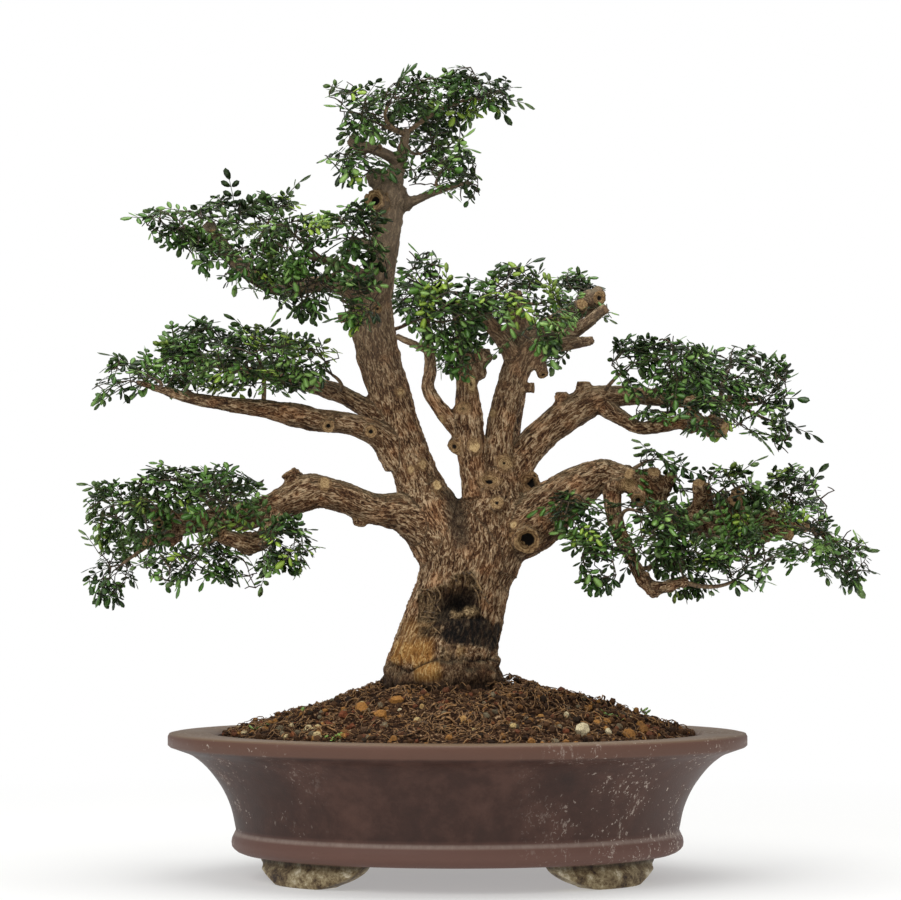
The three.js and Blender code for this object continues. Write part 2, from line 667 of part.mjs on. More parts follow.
// One thin arched sheet: a short shoot and its leaves, cut to their ribs
function sprayGeometry({ stem, leaves: [endLeaf, sideLeaf], hand }) {
  const rim = []; // outline of the sheet, anticlockwise seen from above
  const faces = [];
  const add = (at, up) => rim.push({ at, up }) - 1;
  const onShoot = (along, across) =>
    add(
      stem.from.clone().addScaledVector(stem.ahead, along).addScaledVector(stem.side, across),
      stem.up,
    );
  const half = shoot.width / 2;
  const [startIn, startOut] = [onShoot(0, -half), onShoot(0, half)];
  const [farIn, farOut] = [-half, half].map((v) => onShoot(shoot.length + shoot.fork, v));
  const nearOut = onShoot(shoot.length, half);
  faces.push([startIn, startOut, nearOut], [startIn, nearOut, farIn], [farIn, nearOut, farOut]);

  const addLeaf = ({ pairs, frame }, left, right) => {
    const outline = leafSide(pairs);
    const row = (way) => outline.map(([u, v]) => add(onLeaf(frame, u, way * v), frame.up));
    const lefts = row(-1);
    const rights = row(1);
    const tip = add(onLeaf(frame, leafLength(pairs), 0), frame.up);
    let [l, r] = [left, right];
    for (let pair = 0; pair <= pairs; pair++) {
      const [nextLeft, nextRight] = [lefts[pair * 3], rights[pair * 3]];
      faces.push([l, r, nextRight], [l, nextRight, nextLeft]);
      [l, r] = [nextLeft, nextRight];
      if (pair === pairs) break;
      const [bellyLeft, pointLeft, notchLeft] = lefts.slice(pair * 3 + 1, pair * 3 + 4);
      const [bellyRight, pointRight, notchRight] = rights.slice(pair * 3 + 1, pair * 3 + 4);
      faces.push([r, bellyRight, pointRight], [r, pointRight, notchRight]);
      faces.push([l, pointLeft, bellyLeft], [l, notchLeft, pointLeft]);
    }
    faces.push([l, r, tip], [r, rights.at(-1), tip], [l, tip, lefts.at(-1)]);
    return [...rights, tip, ...lefts.reverse()];
  };
  const loop = [startIn, startOut, nearOut];
  loop.push(...addLeaf(sideLeaf, farOut, nearOut));
  loop.push(farOut, ...addLeaf(endLeaf, farIn, farOut), farIn);

  const positions = [];
  for (const share of [0.5, -0.5]) {
    for (const { at, up } of rim) {
      const moved = at.clone().addScaledVector(up, share * leaf.thickness);
      positions.push(moved.x, moved.y, moved.z);
    }
  }
  const under = rim.length;
  const triangles = [];
  for (const [a, b, c] of faces) triangles.push([a, b, c], [c + under, b + under, a + under]);
  loop.forEach((a, i) => {
    const b = loop[(i + 1) % loop.length];
    triangles.push([b, a, a + under], [b, a + under, b + under]);
  });
  if (hand < 0) triangles.forEach((triangle) => triangle.reverse());
  const geometry = new THREE.BufferGeometry();
  geometry.setAttribute("position", new THREE.Float32BufferAttribute(positions, 3));
  geometry.setIndex(triangles.flat());
  geometry.computeVertexNormals();
  return geometry;
}

function woodGeometry(sprays) {
  let wood = solidOf(trunkGeometry());
  for (const points of Object.values(limbs)) wood = wood.add(solidOf(limbGeometry(points)));
  for (const stub of stubs) wood = wood.add(solidOf(stubGeometry(stub)));
  wood = wood.subtract(solidOf(rotGeometry()));
  for (const { trial } of sprays) {
    const line = trial.curve.getPoints(twig.steps);
    const radii = line.map((p, i) =>
      THREE.MathUtils.lerp(twig.rootRadius, twig.tipRadius, i / twig.steps));
    wood = wood.add(solidOf(barGeometry(line, radii, twig.sides, trial.stem.ahead)));
  }
  return geometryOf(wood);
}

const sprays = growSprays();
const plant = new THREE.Group();
plant.add(named("pot", potGeometry(), colours.clay, 0.7));
plant.add(named("soil", soilGeometry(), colours.soil, 1));
plant.add(named("tree_wood", woodGeometry(sprays), colours.wood, 0.85));
for (const { name, trial } of sprays) {
  plant.add(named(name, sprayGeometry(trial), colours.leaf, 0.45));
}

// The frame's origin is the middle of the whole outline, on the ground
const outline = new THREE.Box3().setFromObject(plant);
const middle = outline.getCenter(vec(0, 0, 0));
plant.position.set(-middle.x, -middle.y, -outline.min.z);

export default plant;
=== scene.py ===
import math
import random

import bmesh
import bpy
import numpy as np
from mathutils import Matrix, Vector


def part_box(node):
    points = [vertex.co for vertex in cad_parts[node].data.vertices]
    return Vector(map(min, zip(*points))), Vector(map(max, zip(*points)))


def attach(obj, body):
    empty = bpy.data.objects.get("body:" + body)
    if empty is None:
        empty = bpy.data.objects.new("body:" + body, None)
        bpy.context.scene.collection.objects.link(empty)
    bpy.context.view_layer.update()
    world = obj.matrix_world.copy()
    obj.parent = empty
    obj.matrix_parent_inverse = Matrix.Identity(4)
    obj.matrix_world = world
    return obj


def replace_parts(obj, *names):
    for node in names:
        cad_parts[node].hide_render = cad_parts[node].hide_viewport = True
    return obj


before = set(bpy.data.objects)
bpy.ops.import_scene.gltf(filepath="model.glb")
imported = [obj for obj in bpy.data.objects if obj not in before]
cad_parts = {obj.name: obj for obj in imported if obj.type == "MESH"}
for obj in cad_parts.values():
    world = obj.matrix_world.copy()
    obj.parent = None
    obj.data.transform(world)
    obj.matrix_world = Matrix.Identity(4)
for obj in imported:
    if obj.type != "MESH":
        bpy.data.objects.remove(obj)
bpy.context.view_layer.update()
potLow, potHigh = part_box("pot")
potMiddle = (potLow.x + potHigh.x) / 2  # limbs and clumps are given in millimetres from here


# Small helpers

def linear(hexColour):
    # sRGB hex to linear red, green, blue and alpha
    parts = [int(hexColour[i:i + 2], 16) / 255 for i in (1, 3, 5)]
    return tuple(c / 12.92 if c < 0.04045 else ((c + 0.055) / 1.055) ** 2.4 for c in parts) + (1,)


def setInputs(tree, node, inputs):
    # sets each input or property of a node, or links it where the value is another's output
    for key, value in inputs.items():
        if key == "stops":
            ramp = node.color_ramp.elements
            while len(ramp) < len(value):
                ramp.new(0.5)
            for element, (position, colour) in zip(ramp, value):
                element.position = position
                element.color = linear(colour)
        elif isinstance(value, bpy.types.NodeSocket):
            tree.links.new(value, node.inputs[key])
        elif isinstance(key, int) or key in node.inputs:
            node.inputs[key].default_value = linear(value) if isinstance(value, str) else value
        else:
            setattr(node, key, value)


def addNode(tree, kind, inputs, output=0):
    node = tree.nodes.new("ShaderNode" + kind)
    setInputs(tree, node, inputs)
    return node.outputs[output]


def newMaterial(name):
    # a material, its nodes, its shader, and the place on the piece in metres
    material = bpy.data.materials.new(name)
    material.use_nodes = True
    tree = material.node_tree
    tree.nodes.clear()
    shader = tree.nodes.new("ShaderNodeBsdfPrincipled")
    setInputs(tree, tree.nodes.new("ShaderNodeOutputMaterial"), {"Surface": shader.outputs[0]})
    return material, tree, shader, addNode(tree, "TexCoord", {}, "Object")


def toScene(points):
    return np.asarray(points, float) / 1000 + np.array([potMiddle, 0, 0])


def linked(name, data):
    holder = bpy.data.objects.new(name, data)
    bpy.context.scene.collection.objects.link(holder)
    return holder


def newPiece(name, mesh, materials):
    piece = linked(name, mesh)
    for material in materials:
        mesh.materials.append(material)
    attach(piece, "root")
    return piece


def meshOf(shape, name):
    mesh = bpy.data.meshes.new(name)
    shape.to_mesh(mesh)
    shape.free()
    return mesh


def cut(shape, place, normal, dist=1e-4, **sides):
    bmesh.ops.bisect_plane(shape, geom=[*shape.verts, *shape.edges, *shape.faces], dist=dist,
                           plane_co=place, plane_no=normal, **sides)


def spun(profile, steps, dist):
    # a profile of x and z turned once round the upright axis and closed
    shape = bmesh.new()
    line = [shape.verts.new((x, 0, z)) for x, z in profile]
    edges = [shape.edges.new(pair) for pair in zip(line, line[1:])]
    bmesh.ops.spin(shape, geom=line + edges, cent=(0, 0, 0), axis=(0, 0, 1), angle=2 * math.pi,
                   steps=steps, use_merge=True)
    bmesh.ops.remove_doubles(shape, verts=shape.verts, dist=dist)
    bmesh.ops.recalc_face_normals(shape, faces=shape.faces)
    return shape


def finishedMesh(source, modifiers=()):
    # the mesh of an object or curve once its modifiers are applied
    holder = linked("holder", source)
    for kind, settings in modifiers:
        modifier = holder.modifiers.new(kind.title(), kind)
        for key, value in settings.items():
            setattr(modifier, key, value)
    bpy.context.view_layer.update()
    ready = holder.evaluated_get(bpy.context.evaluated_depsgraph_get())
    mesh = bpy.data.meshes.new_from_object(ready)
    bpy.data.objects.remove(holder)
    return mesh


def meshPoints(parts, key="co"):
    flat = np.empty(len(parts) * 3, np.float32)
    parts.foreach_get(key, flat)
    return flat.reshape(-1, 3).astype(float)


def setMeshPoints(mesh, points):
    mesh.vertices.foreach_set("co", np.asarray(points, np.float32).ravel())
    mesh.update()


def addAttribute(mesh, name, values):
    layer = mesh.attributes.new(name, "FLOAT", "POINT")
    layer.data.foreach_set("value", np.asarray(values, np.float32))


def softNoise(points, seed):
    # smooth gradient noise, about -1 to 1, one value a point
    cell = np.floor(points).astype(np.int64)
    part = points - cell
    blend = part ** 3 * (part * (part * 6 - 15) + 10)
    total = np.zeros(len(points))
    for corner in range(8):
        step = np.array([corner & 1, corner >> 1 & 1, corner >> 2])
        at = cell + step
        mixed = at[:, 0] * 374761393 + at[:, 1] * 668265263 + at[:, 2] * 2147483647 + seed * 144665
        mixed = (mixed ^ (mixed >> 13)) * 1274126177
        mixed = mixed ^ (mixed >> 16)
        slope = ((mixed[:, None] >> [0, 10, 20]) & 1023) / 511.5 - 1
        weight = np.prod(np.where(step, blend, 1 - blend), axis=1)
        total += weight * np.sum(slope * (part - step), axis=1)
    return total * 1.5


def unit(v):
    return v / np.linalg.norm(v)


def smoothStep(low, high, values):
    t = np.clip((values - low) / (high - low), 0, 1)
    return t * t * (3 - 2 * t)


def smoothLine(points, spacing):
    # a curve through points of x, y, z and radius, resampled about every spacing millimetres
    points = np.asarray(points, float)
    padded = np.vstack([2 * points[0] - points[1], points, 2 * points[-1] - points[-2]])
    out = []
    for i in range(1, len(padded) - 2):
        a, b, c, d = padded[i - 1:i + 3]
        count = max(1, round(np.linalg.norm((c - b)[:3]) / spacing))
        for t in np.arange(count) / count:
            out.append(0.5 * (2 * b + (c - a) * t + (2 * a - 5 * b + 4 * c - d) * t ** 2
                              + (3 * b - a - 3 * c + d) * t ** 3))
    out.append(points[-1])
    return np.array(out)


def tubes(lines, roundness):
    # closed round tubes along lines of x, y, z and radius, all in millimetres
    curve = bpy.data.curves.new("tubes", "CURVE")
    curve.dimensions = "3D"
    curve.bevel_depth = 0.001
    curve.bevel_resolution = roundness
    curve.use_fill_caps = True
    for line in lines:
        spline = curve.splines.new("POLY")
        spline.points.add(len(line) - 1)
        places = np.hstack([toScene(line[:, :3]), np.ones((len(line), 1))])
        spline.points.foreach_set("co", places.ravel())
        spline.points.foreach_set("radius", line[:, 3])
    return finishedMesh(curve)


def joined(meshes):
    together = bmesh.new()
    for mesh in meshes:
        together.from_mesh(mesh)
    return meshOf(together, "joined")


def stamped(pattern, places, values):
    # the pattern mesh once at each 4 x 4 place, with one value a copy for each named attribute
    count, size = len(places), len(pattern.vertices)
    points = np.hstack([meshPoints(pattern.vertices), np.ones((size, 1))])
    moved = np.einsum("nij,kj->nki", np.asarray(places)[:, :3], points)
    corners = np.array([loop.vertex_index for loop in pattern.loops])
    sizes = np.tile([len(face.vertices) for face in pattern.polygons], count)
    mesh = bpy.data.meshes.new("stamped")
    mesh.vertices.add(count * size)
    mesh.loops.add(count * len(corners))
    mesh.polygons.add(len(sizes))
    mesh.vertices.foreach_set("co", moved.astype(np.float32).ravel())
    mesh.loops.foreach_set(
        "vertex_index", (corners[None] + np.arange(count)[:, None] * size).ravel())
    mesh.polygons.foreach_set("loop_start", np.concatenate([[0], np.cumsum(sizes)[:-1]]))
    for key in ("material_index", "use_smooth"):
        each = [getattr(face, key) for face in pattern.polygons]
        mesh.polygons.foreach_set(key, np.tile(each, count))
    mesh.update(calc_edges=True)
    for layer in pattern.attributes:
        if layer.domain == "POINT" and layer.data_type == "FLOAT":
            addAttribute(mesh, layer.name, np.tile([one.value for one in layer.data], count))
    for key, each in values.items():
        addAttribute(mesh, key, np.repeat(each, size))
    return mesh


# Camera: the photograph's own, level with the crown's lower pads

camera = {
    "distance": 2.2,
    "height": 0.234,
    "lens": 112.5,
    "sideways": -0.00547,
    "tilt": 2.548,  # degrees up
}


def placeCamera():
    data = bpy.data.cameras.new("camera")
    data.lens = camera["lens"]
    data.sensor_width = 36
    data.clip_end = 20
    eye = linked("camera", data)
    eye.location = (potMiddle + camera["sideways"], -camera["distance"], camera["height"])
    eye.rotation_euler = (math.radians(90 + camera["tilt"]), 0, 0)
    bpy.context.scene.camera = eye


placeCamera()


# The tree's limbs and clumps, as in the solids

trunk = {
    "depthRatio": 0.88,
    "rings": [
        [-11, 0, 72, 38], [-11, 0, 120, 44], [-11, 0, 153, 47.3], [-11, 0, 163, 45.5],
        [-9, 0, 179, 41.7], [-2, 0, 202, 39.8], [5, 0, 228, 38.2], [10, 0, 250, 39],
        [11, 0, 264, 33],
    ],
}

limbs = {
    "forkLeft": [
        [4, 0, 241, 32], [-12, -2, 265, 28.5], [-23, -4, 285, 25], [-29, -2, 303, 19.5],
        [-36, 0, 322, 17.2], [-46, 6, 355, 15.6], [-61, 10, 402, 17.3], [-68, 5, 441, 17.2],
        [-64, 3, 461, 14.1], [-58, 2, 483, 10.9], [-55, 2, 519, 13.3], [-53, 2, 537, 10.2],
        [-44, 3, 565, 5.1], [-40, 4, 586, 3.1],
    ],
    "forkRight": [[16, 0, 241, 34], [25, 0, 268, 32.4], [28, -2, 288, 28.1], [30, -5, 308, 18.7]],
    "lowerLeft": [
        [-14, -6, 264, 21], [-31, -12, 276, 18.6], [-45, -16, 283, 15.5], [-67, -22, 286, 12.4],
        [-98, -28, 297, 12.6], [-118, -30, 297, 14.4], [-146, -30, 285, 11.6],
        [-191, -12, 277, 8.2], [-233, 10, 265, 4.7],
    ],
    "lowerLeftSpur": [[-138, -34, 284, 9.2], [-152, -50, 258, 6.9], [-179, -66, 264, 6.4]],
    "midLeft": [
        [-45, 0, 322, 14.1], [-60, -6, 342, 10.9], [-84, -10, 352, 8.9], [-107, -14, 354, 9.3],
        [-126, -18, 358, 9.7], [-151, -22, 363, 7.3], [-203, -30, 370, 5], [-248, -36, 383, 2.3],
    ],
    "midLeftUpper": [
        [-59, 4, 357, 8.6], [-85, 14, 373, 7.5], [-100, 22, 380, 7.9], [-121, 32, 386, 6.3],
        [-211, 58, 407, 2.4],
    ],
    "upperLeft": [
        [-71, 4, 448, 11.7], [-89, 12, 461, 7.9], [-113, 20, 464, 6.7], [-134, 26, 461, 7.1],
        [-154, 30, 467, 6.7], [-176, 32, 483, 5.9], [-199, 26, 514, 4.7],
    ],
    "upperLeftTwig": [[-66, 2, 466, 5.5], [-97, -22, 477, 3.9], [-115, -42, 479, 2.7]],
    "upperLeftTip": [[-179, 30, 486, 4], [-199, 8, 498, 3.1], [-215, -10, 507, 2.3]],
    "centre": [
        [16, -14, 296, 13.2], [12, -16, 316, 10.9], [10, -18, 339, 11.6], [8, -18, 361, 10.8],
        [7, -16, 382, 8.5], [2, -12, 423, 4.7], [-4, -10, 449, 3.1],
    ],
    "centreLeft": [
        [0, -16, 347, 7], [-14, -20, 364, 6.2], [-23, -24, 379, 5.4], [-21, -26, 397, 5],
        [-26, -30, 447, 2.3],
    ],
    "centreLeftTwig": [[-21, -26, 407, 3.5], [-48, -16, 420, 2.7]],
    "centreRight": [
        [31, -8, 299, 15.6], [31, -8, 330, 11.7], [36, -6, 361, 11.3], [46, 0, 394, 11.7],
        [56, 6, 412, 11], [71, 12, 426, 10.2], [89, 18, 439, 8.7], [115, 28, 460, 5.5],
    ],
    "centreRightSpur": [[44, 0, 404, 7.8], [31, -14, 423, 6.2], [14, -26, 437, 5]],
    "centreRightChunk": [[52, 6, 414, 9.4], [45, 12, 437, 7.9], [46, 16, 459, 5.5]],
    "centreRightArm": [[69, 8, 417, 7.8], [92, -8, 425, 5.8], [116, -22, 442, 3.9]],
    "centreRightLow": [[69, 6, 414, 7.1], [104, -30, 415, 3.9]],
    "upperRight": [
        [38, 0, 307, 17.2], [51, 4, 327, 13.7], [63, 6, 341, 12.9], [77, 8, 353, 12.9],
        [92, 8, 363, 13.3], [106, 8, 371, 12.5], [121, 8, 374, 9.4], [140, 10, 375, 7.5],
        [191, 18, 371, 5.5], [242, 32, 375, 2.8],
    ],
    "upperRightLow": [
        [116, 4, 365, 7.8], [131, -6, 355, 6.2], [145, -18, 348, 5.4], [180, -38, 353, 5.8],
        [195, -46, 347, 4.6],
    ],
    "lowerRight": [
        [35, -2, 263, 25.4], [58, -8, 275, 24.1], [78, -14, 291, 20.2], [95, -18, 303, 17],
        [110, -20, 311, 13.2], [127, -22, 310, 10.4], [145, -26, 301, 10.8], [158, -24, 284, 8.1],
        [175, -18, 274, 7.7], [200, -8, 273, 9.3], [239, 10, 275, 8.2], [283, 30, 271, 3.2],
    ],
    "lowerRightDown": [
        [119, -24, 304, 7.7], [121, -40, 275, 6.5], [133, -50, 246, 6.5], [141, -54, 230, 6.1],
        [150, -56, 220, 5.3],
    ],
    "lowerRightToe": [[145, -54, 226, 5.3], [175, -72, 230, 3]],
    "lowerRightTip": [[254, 14, 275, 4.7], [274, -8, 271, 3.5], [294, -24, 260, 2.3]],
    "topLeft": [[-44, 3, 559, 5.1], [-61, -10, 565, 4.7], [-80, -20, 570, 4.3]],
    "topRight": [[-42, 2, 524, 5.5], [-26, -8, 530, 3.5], [10, -22, 540, 1.9]],
    "backLeft": [[-58, 14, 385, 11], [-64, 48, 425, 7.2], [-75, 84, 450, 4.1]],
    "backRight": [[32, 8, 317, 14.1], [44, 44, 358, 8], [54, 84, 399, 4.9]],
}

# pruned stubs and swollen knots: root, tip and radius
stubs = [
    [[-28, -8, 300], [-15, -26, 304], 4.3],
    [[-118, -30, 297], [-131, -32, 314], 7],
    [[-74, -22, 285], [-76, -24, 272], 5],
    [[-100, -12, 352], [-100, -26, 349], 5],
    [[-68, -8, 347], [-67, -23, 345], 5],
    [[-58, 0, 524], [-65, -18, 526], 7.5],
    [[-68, 3, 441], [-62, -19, 441], 4.2],
    [[-60, 2, 489], [-81, -8, 495], 3.6],
    [[-72, 5, 442], [-92, -8, 434], 4],
    [[-152, 29, 466], [-150, 14, 471], 3.6],
    [[-200, -8, 274], [-229, -22, 283], 4],
    [[44, -2, 380], [60, -6, 380], 4],
    [[61, 8, 412], [67, -6, 390], 4.5],
    [[82, 8, 358], [81, 6, 378], 4.8],
    [[99, 8, 366], [99, 5, 386], 5.5],
    [[180, -37, 353], [178, -42, 371], 4.6],
    [[14, -14, 326], [13, -27, 333], 4.5],
    [[32, -20, 284], [30, -36, 290], 5.5],
    [[4, -14, 339], [-3, -24, 333], 6],
    [[52, -12, 262], [53, -38, 260], 10],
]

# foliage pads: the limbs that carry them, and clumps as centre, half width and half height
pads = {
    "top": (["forkLeft", "topLeft", "topRight"], [
        [-80, -26, 599, 19, 19], [-35, -34, 610, 28, 18], [19, 0, 613, 30, 18],
        [-2, -26, 547, 25, 19], [-80, -30, 551, 23, 17], [-20, 42, 586, 29, 24],
    ]),
    "upperLeft": (["upperLeft", "upperLeftTwig", "upperLeftTip"], [
        [-228, -18, 506, 23, 17], [-187, 32, 523, 27, 16], [-171, -10, 478, 25, 19],
        [-128, -40, 494, 28, 20], [-114, -30, 453, 28, 20], [-76, -58, 499, 26, 23],
        [-152, 72, 526, 31, 21],
    ]),
    "midLeft": (["midLeft", "midLeftUpper"], [
        [-253, -45, 387, 21, 18], [-216, -10, 400, 26, 23], [-166, -52, 400, 27, 24],
        [-122, -18, 405, 29, 20], [-208, 66, 420, 34, 23], [-152, 50, 416, 30, 21],
    ]),
    "lowerLeft": (["lowerLeft", "lowerLeftSpur"], [
        [-271, -14, 286, 22, 25], [-229, -48, 299, 28, 21], [-179, -66, 299, 27, 21],
        [-271, 12, 237, 24, 27], [-215, -60, 240, 26, 15], [-132, -80, 257, 27, 24],
        [-192, 34, 294, 30, 22], [-247, 60, 278, 30, 24],
    ]),
    "centre": ([
        "centre", "centreLeft", "centreLeftTwig", "centreRight", "centreRightSpur",
        "centreRightChunk", "centreRightArm", "centreRightLow",
    ], [
        [-25, -34, 466, 25, 18], [-2, -62, 432, 24, 24], [42, -20, 461, 26, 17],
        [92, 48, 461, 27, 19], [67, -56, 420, 23, 18], [0, -52, 397, 20, 17],
    ]),
    "back": (["backLeft", "backRight", "forkLeft"], [
        [-73, -60, 445, 23, 27], [-70, 98, 467, 26, 21], [-30, 70, 456, 26, 23],
        [35, 100, 445, 29, 23], [75, 112, 423, 26, 21],
    ]),
    "upperRight": (["upperRight", "upperRightLow"], [
        [133, -14, 403, 20, 19], [172, -30, 400, 26, 20], [224, 44, 399, 27, 22],
        [245, -14, 382, 20, 25], [188, -62, 356, 27, 18], [255, 6, 342, 11, 19],
        [188, 66, 398, 31, 21],
    ]),
    "lowerRight": (["lowerRight", "lowerRightDown", "lowerRightToe", "lowerRightTip"], [
        [84, -62, 282, 21, 20], [107, -72, 244, 21, 26], [152, -38, 321, 17, 14],
        [152, -84, 274, 26, 21], [178, -36, 238, 28, 22], [207, -44, 299, 26, 23],
        [265, 30, 302, 27, 22], [219, -70, 247, 27, 26], [271, -44, 265, 24, 21],
        [306, -6, 244, 23, 23], [211, 62, 278, 34, 26],
    ]),
}


# The wood

bark = {
    "voxel": 0.0015,
    "smoothing": 3,
    "splitHeight": 328,  # above it the skin is a piece of its own
    "ridge": (5.6, 18),  # millimetres across and along a ridge
    "fine": (3, 9),
    "wander": 1.5,
    "depth": 1.8,  # of a furrow on the trunk
    "crest": 0.42,  # ridge value that keeps the solids' surface
    "shrink": 0.7,
    # how far each of these swells the skin, or draws it in
    "lumps": 0.75, "warts": 1.5, "base": 5, "bulge": 4.5, "waist": 1.6,
    "cut": (0.6, 0.9),  # how far a cut's rim rises and its face sinks
    "crotch": (-7, 8, 254, 300),  # where shade is painted between the two forks
    "seed": 11,
}

# dead branch ends inside the pads, cut back and hollow: root, tip and radius
deadEnds = [
    [[-222, 4, 268], [-234, -28, 285], 5],
    [[-222, 4, 268], [-230, -30, 273], 5.5],
    [[-226, 6, 266], [-241, -24, 259], 4.5],
    [[-180, -18, 279], [-184, -38, 265], 5.5],
    [[-154, 29, 467], [-161, 10, 471], 3.4],
    [[-196, 26, 512], [-193, 8, 503], 3.6],
    [[195, -10, 274], [190, -26, 304], 5],
    [[214, -2, 275], [217, -22, 299], 5.5],
    [[228, 5, 275], [240, -22, 264], 5.5],
    [[196, -46, 347], [204, -52, 345], 6],
    [[104, 24, 452], [112, 8, 452], 6],
    [[92, 18, 440], [98, 0, 446], 5],
    [[136, -26, 306], [131, -40, 304], 6],
    [[48, -2, 298], [61, -10, 312], 4.6],
    [[148, -28, 303], [151, -42, 314], 5.5],
    [[140, -30, 302], [131, -45, 312], 4.6],
    [[140, -28, 300], [138, -45, 291], 6],
    [[158, -26, 298], [165, -38, 311], 4.4],
    [[188, -30, 282], [184, -50, 305], 5],
    [[210, -30, 284], [212, -52, 292], 5.6],
    [[212, -30, 274], [231, -54, 262], 4.4],
    [[236, -24, 272], [254, -50, 264], 4.2],
    [[190, -30, 272], [204, -50, 266], 4],
]

# burls, where the wood is swollen and rough: centre and radius
burls = [
    [145, -26, 302, 15], [125, -22, 309, 12], [180, -36, 353, 10], [196, -44, 348, 9],
    [200, -8, 275, 12], [225, 4, 275, 11], [-226, 6, 268, 12], [-186, -16, 277, 11],
    [-160, -50, 258, 10], [48, 10, 432, 10], [104, 22, 450, 10], [20, -22, 433, 8],
    [-53, 0, 530, 15], [-63, 0, 545, 9], [60, 4, 408, 11], [8, -18, 352, 12],
    [14, -12, 393, 9], [20, -12, 404, 8], [28, -14, 165, 7], [-80, -14, 572, 6], [-75, -16, 567, 6],
    [112, -26, 315, 9], [122, -32, 303, 8], [156, -30, 303, 9], [186, -30, 279, 12],
    [212, -32, 280, 13], [238, -26, 276, 11], [141, -55, 231, 8], [150, -57, 223, 8],
    [161, -62, 226, 7], [171, -68, 229, 6],
]

# the rotten hollow low on the front: its torn upper lip as x and z, its sides, and its parts
rot = {
    "lip": ([-34, -31, -18, -7, -3, 10, 18, 20], [212, 219, 222.5, 227, 233, 236, 223, 210]),
    "sides": (-32, 19), "floor": 200, "roof": 260,
    "pit": (1, 213, 13, 9), "pitDepth": 17, "shallow": 5.5,
    "stain": [(14, 190, 30, 12), (-9, 203, 7, 11)],  # blue-black wood under it: middle and size
    "ripples": (-32, -13, 187, 207), "ribs": (-14, 6, 168, 181),  # layered and ribbed wood
    # how far the wood sinks between fibres, in stains, ripples and ribs, and along the crack,
    # and how far the lip stands up
    "sinks": (2.6, 1.8, 1.4, 1.2, 2.2), "lipRise": 2.0,
    "chunks": [(-1, 204, 5.5, 3.4), (11, 206, 7.5, 4.6)],  # pale crumbly wood: middle and size
    # torn strands seen in it: x, z and how far in, with the thickness first
    "strands": [
        (0.8, (-31, 223, 0), (-21, 222.5, 0), (-17, 218, 2), (-18, 212, 4)),
        (0.8, (-16, 224, 0), (-13, 218, 2), (-16, 212, 4), (-13, 206, 4)),
        (0.7, (-23, 221, 1), (-20, 214, 3), (-23, 208, 4)),
        (1.0, (-6, 233, 0), (-1, 230, 1), (-2, 222, 5)),
        (0.9, (4, 237, 0), (6, 232, 1), (5, 226, 3)),
        (1.1, (7, 237, 0), (13, 232, 0), (17, 225, 0), (20, 219, 0), (24, 212, 0)),
        (0.7, (12, 226, 2), (16, 218, 2), (17, 209, 2)),
        (0.8, (-26, 206, 3), (-17, 205, 4)), (0.8, (-28, 202, 3), (-16, 201, 4)),
        (0.9, (-28, 198, 2), (-17, 197, 3)), (0.9, (-19, 194, 1), (-13, 189, 1)),
        (0.6, (-10, 229, 1), (-9, 222, 4)), (0.7, (0, 234, 1), (1, 228, 4)),
    ],
    "bulge": (-22, 161, 9, 7),  # swollen root under the crack: middle and size
    "crack": ([-55, -50, -39, -30, -17, 13, 45], [166, 165.5, 160, 164, 169.5, 169.5, 168]),
    # ochre flakes: how strong, left, right, low, high, and how soft the edges are
    "ochre": [(1, -52, -19, 166, 184, 4), (0.55, -46, -20, 180, 200, 6),
              (1, -33, -13, 153, 168, 2), (0.8, 0, 6, 173, 179, 1.5)],
}

# old pruning cuts on the front: centre, radius of the callus ring, how far it rises and the middle
# sinks, radius of the hole against the ring, how pale the wood is, height against width
knots = [
    [(54, -40, 261), 8.8, 2.2, 8, 0.6, 0.1, 0.95],
    [(-65, -20, 526), 7, 1.8, 4, 0.42, 0.2, 1.1],
    [(-73, -14, 533), 3.6, 0.8, 1, 0.25, 0.8, 1],
    [(-100, -28, 349), 4.2, 1, 2, 0.45, 0.2, 1],
    [(-67, -25, 345), 4.2, 1, 2, 0.45, 0.2, 1],
    [(13, -28, 333), 4.2, 0.5, 0.3, 0, 1, 1],
    [(-15, -28, 304), 4.4, 0.5, 0.3, 0, 1, 1.15],
    [(30, -38, 290), 5, 1, 0.8, 0.3, 0.3, 1],
    [(-44, -12, 377), 3.8, 0.8, 0.8, 0, 0.55, 1],
    [(57, -2, 306), 7, 0.6, 6, 0.7, 0.1, 1],
    [(4, -28, 363), 5.5, 1.1, 1.2, 0.25, 0.15, 0.7],
    [(11, -25, 383), 3.4, 0.8, 1.6, 0.3, 0.75, 2.2],
    [(37, -19, 321), 6.5, 1.1, 1, 0.2, 0.3, 0.85],
    [(25, -24, 307), 7, 1.3, 2.2, 0.3, 0.25, 0.7],
    [(27, -13, 360), 3.2, 0.7, 0.3, 0, 0.6, 1],
    [(-27, -17, 320), 3.2, 0.6, 0.2, 0, 0.45, 1.3],
    [(-36, -18, 316), 2.6, 0.6, 0.2, 0, 0.45, 1.2],
    [(-102, -38, 305), 4, 0.9, 0.6, 0, 0.45, 1.3],
    [(43, -34, 273), 3.4, 0.9, 0.2, 0, 0.85, 1],
    [(-16, -38, 232), 3, 0.9, 0.2, 0, 0.7, 0.9],
    [(-14, -22, 354), 4, 0.9, 0.8, 0.2, 0.3, 1],
]


